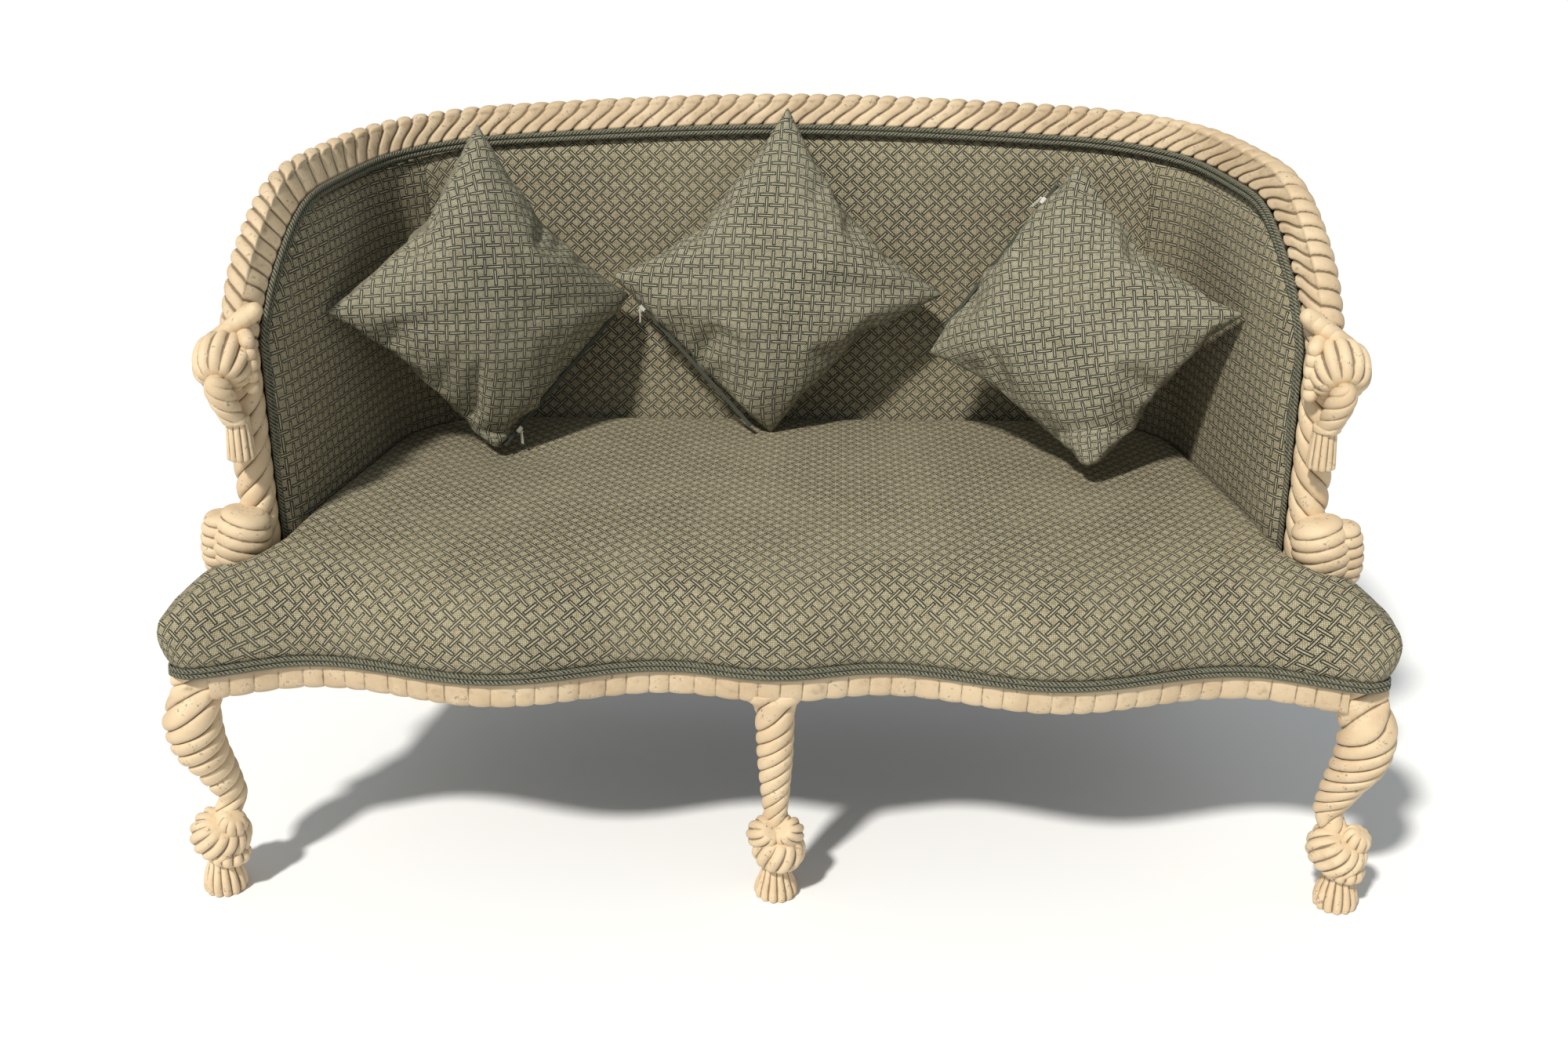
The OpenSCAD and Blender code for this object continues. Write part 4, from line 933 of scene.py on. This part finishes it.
def outer(name, q0, q1):
    """Outer cloth between two signed plan positions."""
    q = np.linspace(q0, q1, int(abs(q1 - q0) / 8) + 2)
    z1 = under_z(q)
    rows, vs = [], []
    for d, h in ((-8, 0), (-13.5, 0), (-15, 0.01), (-15.6, 0.3), (-15.6, 0.6), (-15, 0.99), (-13.5, 1), (-8, 1)):
        z = COVER_Z + (z1 - COVER_Z) * h
        rows.append(np.column_stack([side_plan(q, d), z]))
        vs.append(z)
    rows = np.array(rows)
    uv = np.stack([np.broadcast_to(q, (len(rows), len(q))), np.array(vs)], -1)
    f = tube_faces(len(rows), len(q), caps=False, closed=False, flip=True)
    make(name + "_look", rows.reshape(-1, 3), f, SEAT_CLOTH, uv=uv.reshape(-1, 2), replaces=[name])


outer("outside_back", -SEAM + 1, SEAM - 1)
outer("outside_arm_left", -STOP, -SEAM - 1)
outer("outside_arm_right", SEAM + 1, STOP)

# strip of cloth behind each front corner of the seat
for s, tag in ((-1, "left"), (1, "right")):
    p = np.vstack([EAR[4:], plan(PLAN - 12, -SIDE_OUT)[None], plan(STOP, -SIDE_OUT)[None]])
    t = np.linspace(0, len(p) - 1, 40)
    c = spline(p, t)
    nn = outward(c, False)
    if s < 0:
        c[:, 0] *= -1
        nn[:, 0] *= -1
    rows = np.array([np.column_stack([c + nn * o, np.full(len(c), z)]) for o, z in
                     ((-7, 327), (0, 327), (0.6, 345), (0.6, 372), (-1, 384), (-7, 386))])
    uv = np.stack([np.broadcast_to(lengths(c), rows.shape[:2]), rows[..., 2]], -1)
    f = tube_faces(len(rows), len(c), caps=False, closed=False, flip=s < 0)
    make("ear_skirt_" + tag + "_look", rows.reshape(-1, 3), f, SEAT_CLOTH, uv=uv.reshape(-1, 2),
         replaces=["ear_skirt_" + tag])

# double bead along the inner side of the rail and down the posts
bead_s = np.linspace(-FOOT_S + 1, FOOT_S - 1, 1100)
bn, bt, bp = axis_out(bead_s), axis_dir(bead_s), axis_pt(bead_s)
bn = unit(bn - (bn * bt).sum(-1, keepdims=True) * bt)
bv = np.cross(bt, bn)
bv *= np.where(bead_s < 0, 1, 1)[:, None]
up_side = np.where((bv[:, 2] < 0)[:, None] & (np.abs(bead_s) < BEND_S * 0.7)[:, None], -1.0, 1.0)
if bv[len(bv) // 2, 2] < 0:
    bv = -bv
v, f, u, count = [], [], [], 0
for o, low, r in ((24.2, 14.0, 3.5), (24.9, 20.9, 3.5)):
    c = bp - bn * o - bv * low
    a = np.linspace(0, 2 * math.pi, 10, endpoint=False)
    rings = c[:, None] + r * (np.cos(a)[None, :, None] * bn[:, None] + np.sin(a)[None, :, None] * bv[:, None])
    s_len = np.concatenate([[0], np.cumsum(np.linalg.norm(np.diff(c, axis=0), axis=1))])
    v.append(rings.reshape(-1, 3))
    f += tube_faces(len(c), 10, True, True, False, count)
    u.append(np.stack([np.repeat(s_len[:, None], 10, 1), np.repeat((a * r)[None], len(c), 0)], -1).reshape(-1, 2))
    count += len(c) * 10
make("back_welt_look", np.concatenate(v), f, PIPING, uv=np.concatenate(u), replaces=["back_welt"])

# ---------------------------------------------------------------- scatter cushions
HALF, THICK = 157.0, 118.0       # half side and thickness of a pad
# middle; turn, lean and roll in degrees; quarter turn that brings the zip to its side
POSES = {"left": ((-402.2, 115.4, 654.5), (35.3, -7.4, 6.4), -90),
         "centre": ((-11.5, 214.4, 651.5), (0.1, -12, 2.9), 0),
         "right": ((391.3, 74.5, 632.9), (-31.9, -24.4, -16.5), 90)}


def turn(axis, deg):
    return np.array(Matrix.Rotation(math.radians(deg), 3, axis))


def cushion(name, moves, seed, fold=None):
    """Square pad blown up as cloth, then set to its corners. moves shifts corners, in world mm; fold is the
    corner that is folded forward: its signs, length and angle."""
    at, (yaw, lean, roll), spin = POSES[name]
    rot = turn("Z", yaw) @ turn("X", lean) @ turn("Y", roll + 45 + spin) @ turn("X", 90)
    m = 46
    g = np.linspace(-1, 1, m + 1)
    u, v = np.meshgrid(g, g, indexing="ij")
    w = np.maximum(0, (1 - u ** 2) * (1 - v ** 2)) ** 0.45
    rng = np.random.RandomState(seed)
    ruck = rng.normal(0, 1, (m + 1, m + 1))
    for _ in range(6):
        ruck = (ruck + np.roll(ruck, 1, 0) + np.roll(ruck, -1, 0) + np.roll(ruck, 1, 1) + np.roll(ruck, -1, 1)) / 5
    ruck *= 2.4 / ruck.std()
    big = 165.0
    ids = np.arange((m + 1) ** 2).reshape(m + 1, m + 1)
    edge = (np.abs(u) == 1) | (np.abs(v) == 1)
    top = np.stack([u * big, v * big, w * 40 + ruck * w], -1).reshape(-1, 3)
    low_ids = ids.copy()
    low_ids[~edge] = np.arange((~edge).sum()) + (m + 1) ** 2
    low = np.stack([u * big, v * big, -w * 40 + np.roll(ruck, 7, 0) * w], -1)[~edge]
    verts = np.vstack([top, low])
    a, b, c, d = ids[:-1, :-1], ids[1:, :-1], ids[1:, 1:], ids[:-1, 1:]
    faces = np.stack([a, b, c, d], -1).reshape(-1, 4).tolist()
    a, b, c, d = low_ids[:-1, :-1], low_ids[1:, :-1], low_ids[1:, 1:], low_ids[:-1, 1:]
    faces += np.stack([d, c, b, a], -1).reshape(-1, 4).tolist()
    uv = np.vstack([top[:, :2], low[:, :2] + [400, 137]])
    ob = make("cushion_" + name + "_look", verts, faces, CUSHION_CLOTH, uv=uv, body="cushion_" + name,
              replaces=["cushion_" + name])
    mod = ob.modifiers.new("cloth", "CLOTH")
    s = mod.settings
    s.quality, s.mass = 6, 0.25
    s.tension_stiffness = s.compression_stiffness = 18
    s.shear_stiffness, s.bending_stiffness = 6, 0.8
    s.use_pressure, s.uniform_pressure_force = True, 4.5
    s.effector_weights.gravity = 0
    mod.collision_settings.use_collision = False
    mod.point_cache.frame_start, mod.point_cache.frame_end = 1, 22
    for f in range(1, 23):
        bpy.context.scene.frame_set(f)
    dg = bpy.context.evaluated_depsgraph_get()
    co = np.empty(len(verts) * 3)
    ob.evaluated_get(dg).data.vertices.foreach_get("co", co)
    co = co.reshape(-1, 3) * 1000
    ob.modifiers.clear()
    bpy.context.scene.frame_set(1)
    move = co - verts
    far = np.linalg.norm(move, axis=1)
    co = verts + move * np.minimum(1, 45 / np.maximum(far, 1e-6))[:, None]
    # corners back to the pad's size, thickness to the solid's
    uu, vv = np.concatenate([u.ravel(), u[~edge]]), np.concatenate([v.ravel(), v[~edge]])
    corner = {(i, j): co[ids[0 if i < 0 else m, 0 if j < 0 else m]].copy() for i in (-1, 1) for j in (-1, 1)}
    mid = sum(corner.values()) / 4
    co -= mid
    size = np.mean([abs(c[:2] - mid[:2]).mean() for c in corner.values()])
    co[:, :2] *= HALF / size
    co[:, 2] *= THICK / (co[:, 2].max() - co[:, 2].min())
    co[:, 2] -= (co[:, 2].max() + co[:, 2].min()) / 2
    # zipped side drawn straight along the zip
    low_edge = np.interp(co[:, 0], *[x[np.argsort(co[ids[:, 0], 0])] for x in (co[ids[:, 0], 0], co[ids[:, 0], 1])])
    co[:, 1] += (-HALF - low_edge) * np.clip((-vv - 0.35) / 0.65, 0, 1) ** 2 * (np.abs(uu) < 0.985)
    for k, t in ((0, co[:, 1] / HALF), (1, co[:, 0] / HALF)):
        e = (uu, vv)[k]
        bow = 9.0 * np.clip(1 - t ** 2, 0, 1) * np.abs(e) ** 3 * (1 if k == 0 else (e > 0))
        co[:, k] -= np.sign(e) * bow
    for (i, j), delta in moves.items():
        share = ((1 + i * uu) / 2 * (1 + j * vv) / 2) ** (3.2 if j < 0 else 1.8)
        co += share[:, None] * (rot.T @ np.array(delta, float))
    if fold:
        i, j, span, angle = fold
        s = (i * co[:, 0] + j * co[:, 1]) / math.sqrt(2)
        ds = np.maximum(0, s - (HALF * math.sqrt(2) - span))
        a = math.radians(angle) * np.clip(ds / 9, 0, 1)
        pull = ds * (np.cos(a) - 1)
        co[:, 0] += i * pull / math.sqrt(2)
        co[:, 1] += j * pull / math.sqrt(2)
        co[:, 2] += ds * np.sin(a) - 6 * np.exp(-((s - (HALF * math.sqrt(2) - span)) / 6) ** 2)
        blunt = np.maximum(0, ds - 0.66 * span)
        co[:, 0] -= i * 0.55 * blunt / math.sqrt(2)
        co[:, 1] -= j * 0.55 * blunt / math.sqrt(2)
    pts = co @ rot.T + np.array(at)
    ob.data.vertices.foreach_set("co", (pts / 1000).ravel())
    ob.data.update()
    sub = ob.modifiers.new("smooth", "SUBSURF")
    sub.levels = sub.render_levels = 1


cushion("left", {(1, 1): (-3, 0, 14), (-1, 1): (-2, 0, -5), (1, -1): (1, 0, -1.5), (-1, -1): (0, 30, 3)}, 3,
        (-1, -1, 44, 42))
cushion("centre", {(-1, 1): (1, 0, 22), (1, 1): (10, 0, 1), (-1, -1): (-12, 0, 3), (1, -1): (3, 20, 6)}, 8)
cushion("right", {(-1, -1): (2, 0, 4), (1, -1): (-3, 0, -6), (-1, 1): (-1, 0, -10), (1, 1): (22, 36, -9)}, 5,
        (1, 1, 88, 40))

# ---------------------------------------------------------------- floor, light, camera
floor_mat = bpy.data.materials.new("floor")
floor_mat.use_nodes = True
floor_mat.node_tree.nodes["Principled BSDF"].inputs["Base Color"].default_value = (0.93, 0.93, 0.93, 1)
floor_mat.node_tree.nodes["Principled BSDF"].inputs["Roughness"].default_value = 0.9
floor = bpy.data.objects.new("floor", bpy.data.meshes.new("floor"))
floor.data.from_pydata([(-9, -7, 0), (9, -7, 0), (9, 11, 0), (-9, 11, 0)], [], [(0, 1, 2, 3)])
floor.data.materials.append(floor_mat)
bpy.context.scene.collection.objects.link(floor)

world = bpy.data.worlds.new("world")
world.use_nodes = True
world.node_tree.nodes["Background"].inputs[0].default_value = (0.90, 0.97, 1.0, 1)
world.node_tree.nodes["Background"].inputs[1].default_value = 0.40
bpy.context.scene.world = world

sun = bpy.data.objects.new("sun", bpy.data.lights.new("sun", "SUN"))
sun.data.energy, sun.data.angle, sun.data.color = 3.4, math.radians(5), (1.0, 0.97, 0.915)
sun.rotation_euler = Vector((0.31, 0.58, -0.755)).to_track_quat("-Z", "Y").to_euler()
bpy.context.scene.collection.objects.link(sun)

# camera fitted to the photograph's outline
yaw, dip, roll = math.radians(-1.81), math.radians(22.62), math.radians(-0.15)
fwd = Vector((math.sin(yaw) * math.cos(dip), math.cos(yaw) * math.cos(dip), -math.sin(dip)))
right = Vector((math.cos(yaw), -math.sin(yaw), 0))
up = right.cross(fwd)
r2 = right * math.cos(roll) + up * math.sin(roll)
u2 = r2.cross(fwd)
cam = bpy.data.objects.new("camera", bpy.data.cameras.new("camera"))
cam.data.sensor_width, cam.data.lens = 36.0, 41.76
cam.matrix_world = Matrix.Translation((0.07306, -2.2292, 1.3150)) @ Matrix((r2, u2, -fwd)).transposed().to_4x4()
bpy.context.scene.collection.objects.link(cam)
bpy.context.scene.camera = cam
bpy.context.scene.view_settings.view_transform = "Standard"

visual = shown + [o for n, o in frame["nodes"].items() if n not in taken]
{"cad": cad_bounds, "visual": bounds_of(visual)}
